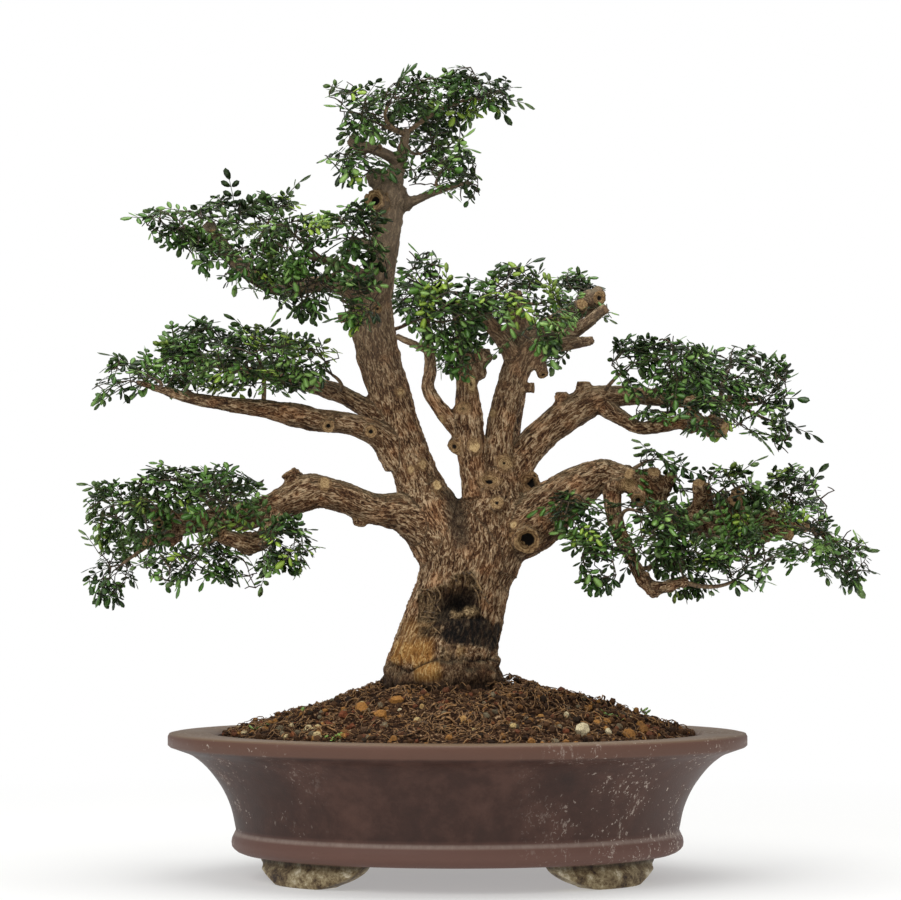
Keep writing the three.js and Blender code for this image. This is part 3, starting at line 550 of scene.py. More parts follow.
def limbSamples():
    # for each limb: its points, radii, tangents, two cross directions and distance along
    found = []
    for line in [trunk["rings"], *limbs.values()]:
        line = smoothLine(line, 5)
        at = line[:, :3]
        tangents = np.gradient(at, axis=0)
        tangents /= np.linalg.norm(tangents, axis=1)[:, None]
        right = np.array([0.0, 1.0, 0.0]) if abs(tangents[0][1]) < 0.9 else np.array([1.0, 0.0, 0.0])
        rights = []
        for tangent in tangents:
            right = right - tangent * right.dot(tangent)
            right = right / np.linalg.norm(right)
            rights.append(right)
        rights = np.array(rights)
        along = np.concatenate([[0], np.cumsum(np.linalg.norm(np.diff(at, axis=0), axis=1))])
        found.append((at, line[:, 3], tangents, rights, np.cross(tangents, rights), along))
    return found


def furrows(place, seed):
    # 0 in a furrow, 1 on a crest: ridges like twisted rope that break and run into each other
    drift = np.stack([softNoise(place / [9, 9, 18] + 30 * k, seed + k) for k in range(2)], axis=1)
    place = place + bark["wander"] * np.hstack([drift, np.zeros((len(place), 1))])
    across, along = bark["ridge"]
    broad = np.abs(softNoise(place / [across, across, along], seed + 2))
    across, along = bark["fine"]
    slim = np.abs(softNoise(place / [across, across, along], seed + 3))
    return 0.62 * smoothStep(0.34, 0, broad) + 0.38 * smoothStep(0.3, 0, slim)


def barkField(points):
    # ridge value and limb radius at each point, blended where limbs meet, and the place on the
    # nearest limb: across, up and along in millimetres
    samples = limbSamples()
    reach = np.full((len(samples), len(points)), 1e3)
    nearest = np.zeros((len(samples), len(points)), int)
    for row, (at, radius, *_) in enumerate(samples):
        low, high = at.min(axis=0) - 55, at.max(axis=0) + 55
        close = np.flatnonzero(((points > low) & (points < high)).all(axis=1))
        if not len(close):
            continue
        distance = np.linalg.norm(points[close, None] - at[None], axis=2) - radius[None]
        nearest[row, close] = distance.argmin(axis=1)
        reach[row, close] = distance.min(axis=1)
    weight = np.exp(-np.clip((reach - reach.min(axis=0)) / 1.8, 0, 60))
    weight[weight < 0.04] = 0
    weight /= weight.sum(axis=0)
    main = weight.argmax(axis=0)
    ridge = np.zeros(len(points))
    size = np.zeros(len(points))
    spot = np.zeros((len(points), 3))
    for row, (at, radius, tangents, rights, ups, along) in enumerate(samples):
        mine = weight[row] > 0
        if not mine.any():
            continue
        i = nearest[row][mine]
        offset = points[mine] - at[i]
        place = np.stack([
            np.sum(offset * rights[i], axis=1),
            np.sum(offset * ups[i], axis=1),
            along[i] + np.sum(offset * tangents[i], axis=1),
        ], axis=1)
        ridge[mine] += weight[row][mine] * furrows(place, bark["seed"] + row * 7)
        size[mine] += weight[row][mine] * radius[i]
        chosen = main[mine] == row
        spot[np.flatnonzero(mine)[chosen]] = place[chosen] + row * 57
    return ridge, size, spot


def trunkWood():
    # trunk, limbs, stubs and burls as one closed skin
    trunkMesh = tubes([smoothLine(trunk["rings"], 6)], 14)
    points = meshPoints(trunkMesh.vertices)
    points[:, 1] *= trunk["depthRatio"]
    setMeshPoints(trunkMesh, points)
    limbMesh = tubes([smoothLine(line, 5) for line in limbs.values()], 8)
    stubMesh = tubes([np.array([[*root, radius * 1.35], [*tip, radius]])
                      for root, tip, radius in stubs + deadEnds], 6)
    swellings = bmesh.new()
    for *place, radius in burls:
        bmesh.ops.create_icosphere(swellings, subdivisions=2, radius=radius / 1000,
                                   matrix=Matrix.Translation(toScene(place)))
    return finishedMesh(joined([trunkMesh, limbMesh, stubMesh, meshOf(swellings, "burls")]), [
        ("REMESH", {"mode": "VOXEL", "voxel_size": bark["voxel"], "use_smooth_shade": True}),
        ("SMOOTH", {"factor": 0.5, "iterations": bark["smoothing"]}),
    ])


def findScars(points, normals, ragged):
    # at each point: distance from the nearest pruning cut against its radius, how pale its wood
    # is, the radius of its hole, and how far all cuts lift the bark
    reach, pale, hole, lift = (np.full(len(points), start) for start in (9.0, 0.0, 0.0, 0.0))
    scars = []
    for number, (root, tip, radius) in enumerate(stubs + deadEnds):
        axis = unit(np.subtract(tip, root).astype(float))
        pit, cream = (0.3, 0.1) if number % 3 == 0 else (0, 0.25)
        scars.append((tip, axis, radius, *bark["cut"], pit, cream, 1))
    scars += [(centre, (0, -1, 0), *rest) for centre, *rest in knots]
    for centre, axis, ring, rise, sink, pit, cream, tall in scars:
        offset = points - centre
        near = np.flatnonzero(np.abs(offset).max(axis=1) < ring * 2.4 * max(1, tall) + 4)
        offset = offset[near]
        depth = offset @ axis
        flat = offset - np.outer(depth, axis)
        flat[:, 2] /= tall
        away = np.sqrt((flat ** 2).sum(axis=1) + (0.35 * depth) ** 2) / ring
        away = away * (1 + 0.16 * ragged[near]) + 2 * smoothStep(0.6, 0.15, normals[near] @ axis)
        rim = np.exp(-((away - 1) / 0.3) ** 2)
        lift[near] += rise * rim - sink * smoothStep(pit * 1.3 + 0.2, pit * 0.7, away)
        mine = (away < reach[near] + 0.2) & (away < 2)
        reach[near[mine]] = away[mine]
        pale[near[mine]], hole[near[mine]] = cream, pit
    return reach, pale, hole, lift


def softBox(x, z, left, right, low, high, soft=1.5):
    return (smoothStep(left - soft, left + soft, x) * smoothStep(right + soft, right - soft, x)
            * smoothStep(low - soft, low + soft, z) * smoothStep(high + soft, high - soft, z))


def rottenParts(points, normals):
    # the hollow and the stained wood round it: how deep, dark, pale and ochre each point is
    front = smoothStep(0.05, 0.35, -normals[:, 1]) * (points[:, 1] < 5)
    x = points[:, 0] + 1.6 * softNoise(points / 8, 51) + 0.8 * softNoise(points / 3, 52)
    z = points[:, 2] + 1.8 * softNoise(points / 8, 56) + 0.9 * softNoise(points / 3, 57)
    lipLine = np.interp(x, *rot["lip"])
    left, right = rot["sides"]
    mouth = softBox(x, z, left, right, rot["floor"], rot["roof"])
    mouth = mouth * smoothStep(lipLine + 1, lipLine - 1, z)
    middle, level, wide, tall = rot["pit"]
    pit = np.exp(-((x - middle) / wide) ** 2 - ((z - level) / tall) ** 2)
    wavy = points / [2.5, 9, 14] + 0.5 * softNoise(points / 7, 55)[:, None]
    fibre = smoothStep(0.35, 0, np.abs(softNoise(wavy, 53)))
    ragged = 0.3 * softNoise(points / 9, 61) + 0.16 * softNoise(points / 4, 62)
    crumbs = 0.3 * softNoise(points / 2.5, 58)
    chunk, stain = np.zeros((2, len(points)))
    for middle, level, wide, tall in rot["chunks"]:
        away = np.hypot((x - middle) / wide, (z - level) / tall)
        chunk = np.maximum(chunk, smoothStep(1.1, 0.7, away + crumbs))
    for middle, level, wide, tall in rot["stain"]:
        away = np.hypot((x - middle) / wide, (z - level + 0.1 * (x - middle)) / tall)
        stain = np.maximum(stain, smoothStep(1.12, 0.86, away + ragged))
    ripple = softBox(x, z, *rot["ripples"], 2)
    layers = smoothStep(0.3, 0, np.abs(softNoise(points / [9, 9, 2.6], 59)))
    lip = softBox(x, z, left, right, rot["floor"] + 5, rot["roof"], 2)
    lip = np.exp(-((z - lipLine - 0.6) / 1.2) ** 2) * lip
    crack = points[:, 2] - np.interp(points[:, 0], *rot["crack"]) - 1.5 * softNoise(points / 6, 54)
    crack = np.exp(-(crack / 1.3) ** 2) * (points[:, 1] < 12)
    ribs = softBox(x, z, *rot["ribs"])
    fibres, stained, rippled, ribbed, cracked = rot["sinks"]
    sunk = rot["shallow"] + rot["pitDepth"] * pit + fibres * (0.5 - fibre)
    sunk = mouth * sunk * (1 - 0.6 * chunk)
    sunk += (stained * stain * (1 - mouth) + rippled * ripple * (1 - layers)
             + ribbed * ribs * (1 - fibre))
    # the hollow's mouth is dark rotten wood, and painted shade darkens it further in the deep pit
    dark = np.maximum.reduce([
        mouth * (0.7 + 0.3 * pit), stain * (1 - 0.2 * fibre), ripple * (0.85 - 0.55 * layers),
        crack * 0.9, ribs * (0.75 - 0.6 * fibre)])
    pale = np.maximum.reduce([
        chunk * mouth, lip * 0.75, ripple * layers * 0.45, ribs * fibre * 0.6,
        mouth * fibre * (1 - pit) * smoothStep(-8, -22, x) * 0.7,
        mouth * fibre * smoothStep(218, 228, z) * 0.75])
    ochre = np.maximum.reduce([most * softBox(x, z, *edges) for most, *edges in rot["ochre"]])
    dark = np.where(pale > 0.4, dark * (1 - pale), dark)
    rise = rot["lipRise"] * lip - cracked * crack
    return [part * front for part in (sunk, dark, pale, ochre, rise)]


def makeWood(materials):
    mesh = trunkWood()
    points = (meshPoints(mesh.vertices) - [potMiddle, 0, 0]) * 1000
    normals = meshPoints(mesh.vertex_normals, "vector")
    ridge, size, spot = barkField(points)
    strength = np.clip(size / 24, 0.35, 1)
    lumps = softNoise(points / 15, 31) + 0.6 * softNoise(points / 7, 32)
    rough = np.zeros(len(points))
    for place, radius, most, near, far in (
        [(place, radius, 1, 0.9, 1.7) for *place, radius in burls]
        + [(tip, radius, 0.7, 1.2, 2.2) for _, tip, radius in stubs + deadEnds]
    ):
        away = np.linalg.norm(points - place, axis=1)
        rough = np.maximum(rough, most * (1 - smoothStep(radius * near, radius * far, away)))
    warts = softNoise(points / 4.6, 33) + 0.6 * np.abs(softNoise(points / 2.6, 34))
    ragged = softNoise(points / 3.4, 35)
    reach, pale, hole, lift = findScars(points, normals, ragged)
    sunk, dark, torn, ochre, rise = rottenParts(points, normals)
    base = smoothStep(1, -4, points[:, 2] - np.interp(points[:, 0], *rot["crack"]))
    # bark is smooth on a cut and its callus, in the hollow and on the swollen base
    calm = smoothStep(0.7, 1.5, reach) * (1 - 0.7 * np.clip(sunk / 3, 0, 1)) * (1 - 0.7 * base)
    middle, level, wide, tall = rot["bulge"]
    bulge = np.exp(-((points[:, 0] - middle) / wide) ** 2 - ((points[:, 2] - level) / tall) ** 2)
    bulge = bulge * (points[:, 1] < 0)
    waist = smoothStep(170, 190, points[:, 2]) * smoothStep(262, 240, points[:, 2])
    height = (bark["depth"] * strength * (ridge - bark["crest"]) * calm - bark["shrink"] * strength
              + bark["lumps"] * lumps * np.clip(size / 14, 0.3, 1)
              + bark["warts"] * rough * warts * calm + lift + rise
              + bark["base"] * base * softNoise(points / [8, 8, 12], 36)
              + bark["bulge"] * bulge - bark["waist"] * waist)
    points += normals * height[:, None]
    points[:, 1] += sunk
    setMeshPoints(mesh, toScene(points))

    # painted shade: the crotch between the two forks and the undersides of limbs are painted darker
    # and smoother
    x, z = points[:, 0], points[:, 2]
    crotch = softBox(x + 0.22 * (z - 275), z, *bark["crotch"], 4) * (points[:, 1] < 0)
    damp = np.maximum(0.55 * base, smoothStep(166 + 6 * ragged, 148, z)) * (1 - bulge)
    for name, values in {
        "barkRidge": ridge, "barkReach": reach, "barkPale": pale, "barkHole": hole,
        "barkRot": dark, "barkTorn": torn, "barkOchre": ochre, "barkDamp": damp,
        "barkShade": np.clip(crotch + 0.6 * smoothStep(-0.3, -0.9, normals[:, 2]), 0, 1),
    }.items():
        addAttribute(mesh, name, values)
    layer = mesh.attributes.new("barkPlace", "FLOAT_VECTOR", "POINT")
    layer.data.foreach_set("vector", spot.astype(np.float32).ravel())
    for name, above in (("lower_bark", False), ("upper_bark", True)):
        part = bmesh.new()
        part.from_mesh(mesh)
        cut(part, (0, 0, bark["splitHeight"] / 1000), (0, 0, 1), 1e-7,
            clear_inner=above, clear_outer=not above)
        bmesh.ops.holes_fill(part, edges=[edge for edge in part.edges if edge.is_boundary])
        half = meshOf(part, name)
        print("wood:", name, len(half.polygons), "faces")
        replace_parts(newPiece(name, half, materials), "tree_wood")


def makeTornFibres(materials):
    # torn strands in the mouth of the hollow, bent to the trunk's front and thinner at their ends
    lines = []
    for radius, *places in rot["strands"]:
        line = []
        for x, z, sink in places:
            bow = math.sqrt(max(0, 1 - ((x - 0.17 * (z - 205) - 1) / 41) ** 2))
            line.append([x, sink - bow * 39 * trunk["depthRatio"], z, radius])
        line = smoothLine(line, 1.6)
        line[:, 3] *= np.linspace(1, 0.55, len(line))
        lines.append(line)
    piece = newPiece("torn_fibres", tubes(lines, 2), materials)
    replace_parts(piece, "tree_wood")


def furrowedBark():
    # old furrowed bark: thin tan crests like twisted rope catch the light, with red-brown furrows
    # between them; cut wood is pale and ringed, and rotten wood nearly black
    material, tree, shader, place = newMaterial("furrowedBark")
    damp, ridge, shadow, ochre, reach, pale, hole, rotten, torn = [
        addNode(tree, "Attribute", {"attribute_name": "bark" + key}, "Fac")
        for key in ("Damp", "Ridge", "Shade", "Ochre", "Reach", "Pale", "Hole", "Rot", "Torn")]
    onLimb = addNode(tree, "Attribute", {"attribute_name": "barkPlace"}, "Vector")
    crests = []
    for across, along, width in ((3.6, 13, 0.075), (1.9, 6, 0.09)):  # cells in millimetres
        cells = addNode(tree, "Mapping", {
            "Vector": onLimb, "Scale": (1 / across, 1 / across, 1 / along)})
        cells = addNode(tree, "TexNoise", {
            "Vector": cells, "Scale": 1, "Detail": 3, "Distortion": 0.7})
        off = addNode(tree, "Math", {"operation": "SUBTRACT", 0: cells, 1: 0.5})
        off = addNode(tree, "Math", {"operation": "ABSOLUTE", 0: off})
        crests.append(addNode(tree, "MapRange", {"Value": off, "From Min": width, "From Max": 0}))
    grain = addNode(tree, "TexNoise", {  # 2 mm crumbs of cork
        "Vector": place, "Scale": 520, "Detail": 5, "Roughness": 0.7})
    broad = addNode(tree, "TexNoise", {"Vector": place, "Scale": 60, "Detail": 3})  # 17 mm patches
    # the swollen base has few furrows
    plain = addNode(tree, "Math", {"operation": "MULTIPLY_ADD", 0: damp, 1: -0.4, 2: 0.46})
    tone = addNode(tree, "Math", {"operation": "MULTIPLY", 0: crests[0], 1: plain})
    for source, weight in ((crests[1], 0.26), (ridge, 0.22), (grain, 0.85), (broad, 0.3)):
        tone = addNode(tree, "Math", {"operation": "MULTIPLY_ADD", 0: source, 1: weight, 2: tone})
    tone = addNode(tree, "Math", {"operation": "SUBTRACT", 0: tone, 1: 0.38})
    high = addNode(tree, "SeparateXYZ", {"Vector": place}, "Z")
    facing = addNode(tree, "NewGeometry", {}, "Normal")
    upward = addNode(tree, "SeparateXYZ", {"Vector": facing}, "Z")
    inside = addNode(tree, "Math", {"operation": "SUBTRACT", 0: hole, 1: reach})
    rings = addNode(tree, "Math", {"operation": "MULTIPLY", 0: reach, 1: 30})
    rings = addNode(tree, "Math", {"operation": "SINE", 0: rings})
    ringed = addNode(tree, "Math", {"operation": "MULTIPLY_ADD", 0: rings, 1: 0.09, 2: grain})
    # painted shade in the crotch and under the limbs, mixed towards dark brown
    shade = addNode(tree, "Math", {"operation": "MULTIPLY", 0: shadow, 1: 0.72})
    wetness = addNode(tree, "Math", {"operation": "MULTIPLY", 0: damp, 1: 0.8})
    # barkTopLight paints upward-facing bark paler and greyer: painted top light
    rusty, young, barkTopLight, onFace, callus, holeShade, onBark = [
        addNode(tree, "MapRange", {
            "Value": source, "From Min": start, "From Max": full, "To Max": most})
        for source, start, full, most in (
            (broad, 0.5, 0.66, 0.5), (high, 0.36, 0.5, 0.7), (upward, 0.35, 1, 0.45),
            (reach, 0.95, 0.82, 1), (reach, 1.55, 1.3, 0.7), (inside, -0.06, 0.03, 1),
            (reach, 0.9, 1.4, 1))]
    skin, flaky, cream, brown, black, splintered = [
        addNode(tree, "ValToRGB", {"Fac": source, "stops": stops}) for source, stops in (
            (tone, [(0.12, "#23130a"), (0.3, "#472d1a"), (0.48, "#7a5b40"), (0.68, "#ad8e6a"),
                    (0.9, "#d8bd99")]),
            (tone, [(0.1, "#5c3815"), (0.32, "#8f6130"), (0.6, "#bb8b4c"), (0.9, "#e2bc80")]),
            (ringed, [(0.34, "#8f6f46"), (0.5, "#c7a877"), (0.66, "#e0c796")]),
            (ringed, [(0.34, "#4a3321"), (0.5, "#7c5f40"), (0.66, "#a98a5f")]),
            (grain, [(0.42, "#090706"), (0.55, "#1a1512"), (0.7, "#3f332a")]),
            (ringed, [(0.4, "#4f3d29"), (0.52, "#a08660"), (0.64, "#d1b98d")]))]
    face = addNode(tree, "MixRGB", {"Fac": pale, "Color1": brown, "Color2": cream})
    colour = addNode(tree, "MixRGB", {
        "blend_type": "MULTIPLY", "Fac": rusty, "Color1": skin, "Color2": "#f2c39f"})
    for share, over in (
        (young, "#8c7c69"),  # wood high in the tree is younger and greyer
        (barkTopLight, "#6d6a50"), (shade, "#30271e"), (ochre, flaky),
        (callus, brown), (onFace, face), (holeShade, "#0e0906"),  # a pruning cut, and its hole painted near black as painted shade
        (rotten, black), (torn, splintered), (wetness, "#1f1710"),
    ):
        colour = addNode(tree, "MixRGB", {"Fac": share, "Color1": colour, "Color2": over})
    relief = addNode(tree, "Math", {"operation": "MULTIPLY_ADD", 0: crests[1], 1: 0.5, 2: crests[0]})
    relief = addNode(tree, "Math", {"operation": "MULTIPLY", 0: relief, 1: onBark})
    relief = addNode(tree, "Math", {"operation": "ADD", 0: relief, 1: grain})
    bump = addNode(tree, "Bump", {"Height": relief, "Strength": 0.9, "Distance": 0.0009})
    setInputs(tree, shader, {"Base Color": colour, "Normal": bump, "Roughness": 0.82,
                             "Specular IOR Level": 0.2})
    return material


# Leaves and twigs

leaf = {
    "stalk": 6, "pitch": 7.8, "point": (8.8, 11), "endLength": 12.5, "fold": 0.22, "arch": 0.005,
}
shoot = {"length": 8, "width": 1.8, "fork": 1.8}
spray = {
    "endPairs": 3, "sidePairs": 2, "endAngle": -7, "sideAngle": 64,
    "wander": 1.1, "level": 0.8, "drift": (0, -0.12, 0.1),
    "tilt": 1.8, "turn": 0.35, "nod": 0.5, "roll": 0.7,
    "twig": (2, 1.15),  # radius of the twig at its root and its end
}
rule = {
    "seed": 5200, "tries": 1500, "leafClear": 5.6, "woodClear": 4, "clearance": 0.35,
    "bend": 0.45, "setBack": 18, "left": -297, "right": 331, "top": 635,
}

# what the scene adds: thin twigs that fill each pad, and leaves at their ends
foliage = {
    "seed": 77,
    "spacing": 10.2,  # millimetres between the ends of two twigs
    "tries": 420,  # for each clump
    "core": 0.55,  # how far out a clump counts as deep inside
    "inner": 0.3,  # share of places tried deep in a clump that are kept
    "fill": 0.8,  # how far out in a clump a twig ends
    "leaves": (2, 3, 3),  # at each twig's end
    "barkClear": 3,
    "nodeStep": 5,
    "sway": 0.2, "rise": 0.12,  # how far a twig's middle strays and rises, against its length
    "lowest": 0.36,  # radius of a twig at its end
    "thicker": (0.022, 0.5),  # more at its root for each millimetre of length, and the most
    "scale": (0.62, 0.88),  # of a leaf against those in the solids
    "pairs": (2, 4),
    "young": 0.06,  # share of leaves that are young and yellow-green
    "reach": 1.16,  # how far out of its clump a leaf may stand, against the clump's size
    "inside": 0.62,  # how much darker leaves are painted deep in a clump: painted shade
    "bare": 0.05,  # share of twigs that end bare
    "onward": 0.4, "outward": 0.45, "spread": (0.9, 0.9, 0.5),  # where a leaf points
    "lift": (0.2, -0.4),  # upwards high in a clump, and hanging low in it
}

# more clumps that only the scene fills, between those that carry a spray
fillClumps = {
    "top": [[-90, -20, 611, 16, 12], [-30, -20, 545, 16, 12], [8, -20, 534, 16, 12],
            [-8, 10, 600, 22, 17], [-58, 10, 592, 22, 20], [-96, -20, 560, 13, 9],
            [4, -20, 622, 22, 10]],
    "upperLeft": [[-148, -10, 456, 14, 10], [-200, -8, 490, 18, 14], [-150, -20, 492, 20, 12],
                  [-208, 0, 518, 16, 10], [-112, -20, 512, 14, 9], [-60, -34, 474, 14, 16],
                  [-112, -15, 438, 13, 10]],
    "midLeft": [[-212, -25, 382, 26, 11], [-160, -25, 386, 26, 11], [-276, -35, 376, 14, 12],
                [-126, -25, 381, 22, 8], [-100, -20, 400, 12, 8]],
    "lowerLeft": [[-188, -40, 250, 28, 15], [-160, -40, 230, 18, 9], [-154, -40, 300, 13, 11],
                  [-232, -30, 243, 16, 14], [-113, -68, 250, 10, 16], [-210, -40, 314, 20, 9]],
    "centre": [[112, 5, 440, 16, 10], [20, -40, 445, 18, 16], [-30, -30, 480, 14, 9],
               [68, 0, 466, 14, 9], [-28, -44, 430, 14, 16], [88, -20, 440, 16, 12],
               [-2, -46, 396, 15, 14]],
    "back": [],
    "upperRight": [[150, -20, 364, 24, 12], [218, -25, 350, 15, 11], [205, -10, 378, 22, 14],
                   [165, -20, 412, 20, 10], [250, -15, 338, 9, 12]],
    "lowerRight": [[150, -55, 262, 20, 15], [175, -70, 252, 16, 12], [240, -20, 285, 22, 18],
                   [106, -45, 282, 13, 12], [138, -50, 288, 10, 12], [176, -20, 308, 13, 16],
                   [278, -20, 248, 14, 12], [304, -10, 264, 10, 10], [286, -12, 296, 11, 12]],
}


def turned(v, axis, angle):
    return np.array(Matrix.Rotation(angle, 3, Vector(axis)) @ Vector(v))


def seededDraws(seed):
    # the same stream of draws as the solids use
    state = [seed]

    def draw():
        state[0] = (state[0] + 0x6d2b79f5) & 0xffffffff
        t = state[0]
        t = ((t ^ (t >> 15)) * (t | 1)) & 0xffffffff
        t ^= (t + (((t ^ (t >> 7)) * (t | 61)) & 0xffffffff)) & 0xffffffff
        return ((t ^ (t >> 14)) & 0xffffffff) / 4294967296
    return draw


def pointsAlong(line, spacing):
    found = []
    for a, b in zip(line, line[1:]):
        a, b = np.array(a, float), np.array(b, float)
        count = math.ceil(np.linalg.norm((b - a)[:3]) / spacing)
        found += [a + (b - a) * k / count for k in range(count)]
    return found


def twigRoot(centre, names):
    inward = np.array([-centre[0], -centre[1], 0.0])
    length = np.linalg.norm(inward)
    wanted = centre + inward * min(1, 26 / length)
    slim = [p for name in names for p in pointsAlong(limbs[name], 6) if p[3] < 18]
    return min(slim, key=lambda p: np.linalg.norm(p[:3] - wanted))[:3]


def frameOf(start, ahead, up, hand):
    return {"from": start, "ahead": ahead, "up": up, "side": np.cross(ahead, up) * hand}


def leafFrame(start, stem, yaw, pitch, roll, hand):
    ahead = unit(stem["ahead"] * math.cos(yaw) + stem["side"] * math.sin(yaw)
                 + stem["up"] * math.sin(pitch))
    up = unit(stem["up"] - ahead * stem["up"].dot(ahead))
    return frameOf(start, ahead, turned(up, ahead, roll), hand)


def onLeaf(place, along, across):
    lift = leaf["fold"] * abs(across) - leaf["arch"] * along * along
    return place["from"] + place["ahead"] * along + place["side"] * across + place["up"] * lift


def leafLength(pairs):
    return leaf["stalk"] + pairs * leaf["pitch"] + leaf["endLength"]


def sprayTrial(clump, root, draw):
    def about(size):
        return (draw() - 0.5) * size
    x, y, z, halfWidth, halfHeight = clump
    ahead = unit(np.array([x - root[0], (y - root[1]) * spray["level"], z - root[2]]))
    ahead = unit(ahead + [about(spray["wander"]) for _ in range(3)] + spray["drift"])
    tip = np.array([x + about(halfWidth), y + about(halfWidth), z + about(halfHeight)])
    tip = tip - ahead * rule["setBack"]
    bend = tip - ahead * rule["bend"] * np.linalg.norm(tip - root)
    hand = -1 if draw() < 0.5 else 1
    level = np.cross(ahead, [0, 0, 1])
    if np.linalg.norm(level) < 0.2:
        level = np.array([1.0, 0.0, 0.0])
    up = turned(unit(np.cross(level, ahead)), ahead, about(spray["tilt"]))
    stem = frameOf(tip + ahead * rule["clearance"], ahead, up, hand)
    leaves = []
    for pairs, along, across, angle in [
        (spray["endPairs"], shoot["length"] + shoot["fork"], 0, spray["endAngle"]),
        (spray["sidePairs"], shoot["length"] + shoot["fork"] / 2, shoot["width"] / 2,
         spray["sideAngle"]),
    ]:
        yaw = math.radians(angle) + about(spray["turn"])
        start = stem["from"] + ahead * along + stem["side"] * across
        pitch, roll = about(spray["nod"]), about(spray["roll"])
        leaves.append((pairs, leafFrame(start, stem, yaw, pitch, roll, hand)))
    return {"twig": bentLine(root, bend, tip, *spray["twig"], 12), "stem": stem, "leaves": leaves}


def leafSide(pairs):
    side = []
    for pair in range(pairs):
        notch = leaf["stalk"] + pair * leaf["pitch"]
        side += [(notch + 1.8, 5.8), (notch + leaf["point"][0], leaf["point"][1])]
    return side + [(leaf["stalk"] + pairs * leaf["pitch"] + 4.5, 4.2)]


def testPoints(trial):
    stem = trial["stem"]
    points = [stem["from"] + stem["ahead"] * shoot["length"] / 2]
    for pairs, place in trial["leaves"]:
        along = 2
        while along <= leafLength(pairs):
            points.append(onLeaf(place, along, 0))
            along += 6
        for u, v in leafSide(pairs):
            points += [onLeaf(place, u, share * v) for share in (-1, -0.5, 0.5, 1)]
        points.append(onLeaf(place, leafLength(pairs), 0))
    return np.array(points)


def apart(points, others):
    return np.linalg.norm(points[:, None] - others[None, :, :3], axis=2)


def growSprays():
    # the leafy sprays of the solids, grown again by the same rule
    barkPoints = np.array([p for line in [trunk["rings"][2:], *limbs.values()]
                           for p in pointsAlong(line, 5)])
    stubPoints = [[*(np.array(root) + (np.array(tip) - root) * t), radius]
                  for root, tip, radius in stubs for t in (0.5, 1)]
    barkPoints = np.vstack([barkPoints, stubPoints])
    reach = 2 + rule["woodClear"]
    grown = []
    for pad, (names, clumps) in pads.items():
        for number, clump in enumerate(clumps):
            root = twigRoot(np.array(clump[:3], float), names)
            draw = seededDraws(rule["seed"] + len(grown) * 101)
            for _ in range(rule["tries"]):
                trial = sprayTrial(clump, root, draw)
                points = testPoints(trial)
                inside = ((points[:, 0] > rule["left"]) & (points[:, 0] < rule["right"])
                          & (points[:, 2] < rule["top"])).all()
                clear = apart(points, barkPoints) >= barkPoints[:, 3] + rule["woodClear"]
                if inside and clear.all() and all(
                        (apart(points, other["twig"]) >= reach).all()
                        and (apart(other["points"], trial["twig"]) >= reach).all()
                        and (apart(points, other["points"]) >= rule["leafClear"]).all()
                        for other in grown):
                    break
            grown.append({**trial, "points": points, "pad": pad, "number": number + 1})
    return grown


leaflet = {
    # half outline, as places along it and shares of its half width: oval with a round tip
    "outline": [(0, 0), (0.2, 0.66), (0.5, 1), (0.8, 0.84), (1, 0)],
    "width": 0.24,  # half its width against its length
    "fold": -0.28,
    "arch": 0.18,
    "start": 2.5,  # where its base stands after the notch
    "length": 9.8,
    "jitter": 0.13,
    "missing": 0.06,  # share that has dropped off
    "smallest": 0.78,  # the lowest pair against the highest
}


def leafletMesh():
    # one leaflet 1 long on +X: a grid drawn in at both ends, its edges lower than its middle rib,
    # closed by one face underneath
    blade = bmesh.new()
    parts = len(leaflet["outline"]) - 1
    bmesh.ops.create_grid(blade, x_segments=parts, y_segments=2, size=0.5)
    across = blade.verts.layers.float.new("leafAcross")
    for vert in blade.verts:
        along, share = leaflet["outline"][round((vert.co.x + 0.5) * parts)]
        side = 2 * vert.co.y * leaflet["width"] * share
        vert[across] = 2 * vert.co.y
        vert.co = (along, side, leaflet["fold"] * abs(side) - leaflet["arch"] * along * along)
    bmesh.ops.remove_doubles(blade, verts=blade.verts, dist=1e-5)
    for face in blade.faces:
        face.smooth = True
    edges = [edge for edge in blade.edges if edge.is_boundary]
    for face in bmesh.ops.contextual_create(blade, geom=edges)["faces"]:
        face.material_index = 1
    bmesh.ops.recalc_face_normals(blade, faces=blade.faces)
    return meshOf(blade, "leaflet")


def leafletPlace(start, ahead, up, length, wide):
    ahead = unit(ahead)
    up = unit(up - ahead * up.dot(ahead))
    place = np.eye(4)
    place[:3, 0], place[:3, 1], place[:3, 2] = ahead, np.cross(up, ahead) * wide, up
    place[:3, :3] *= length / 1000
    place[:3, 3] = toScene(start)
    return place


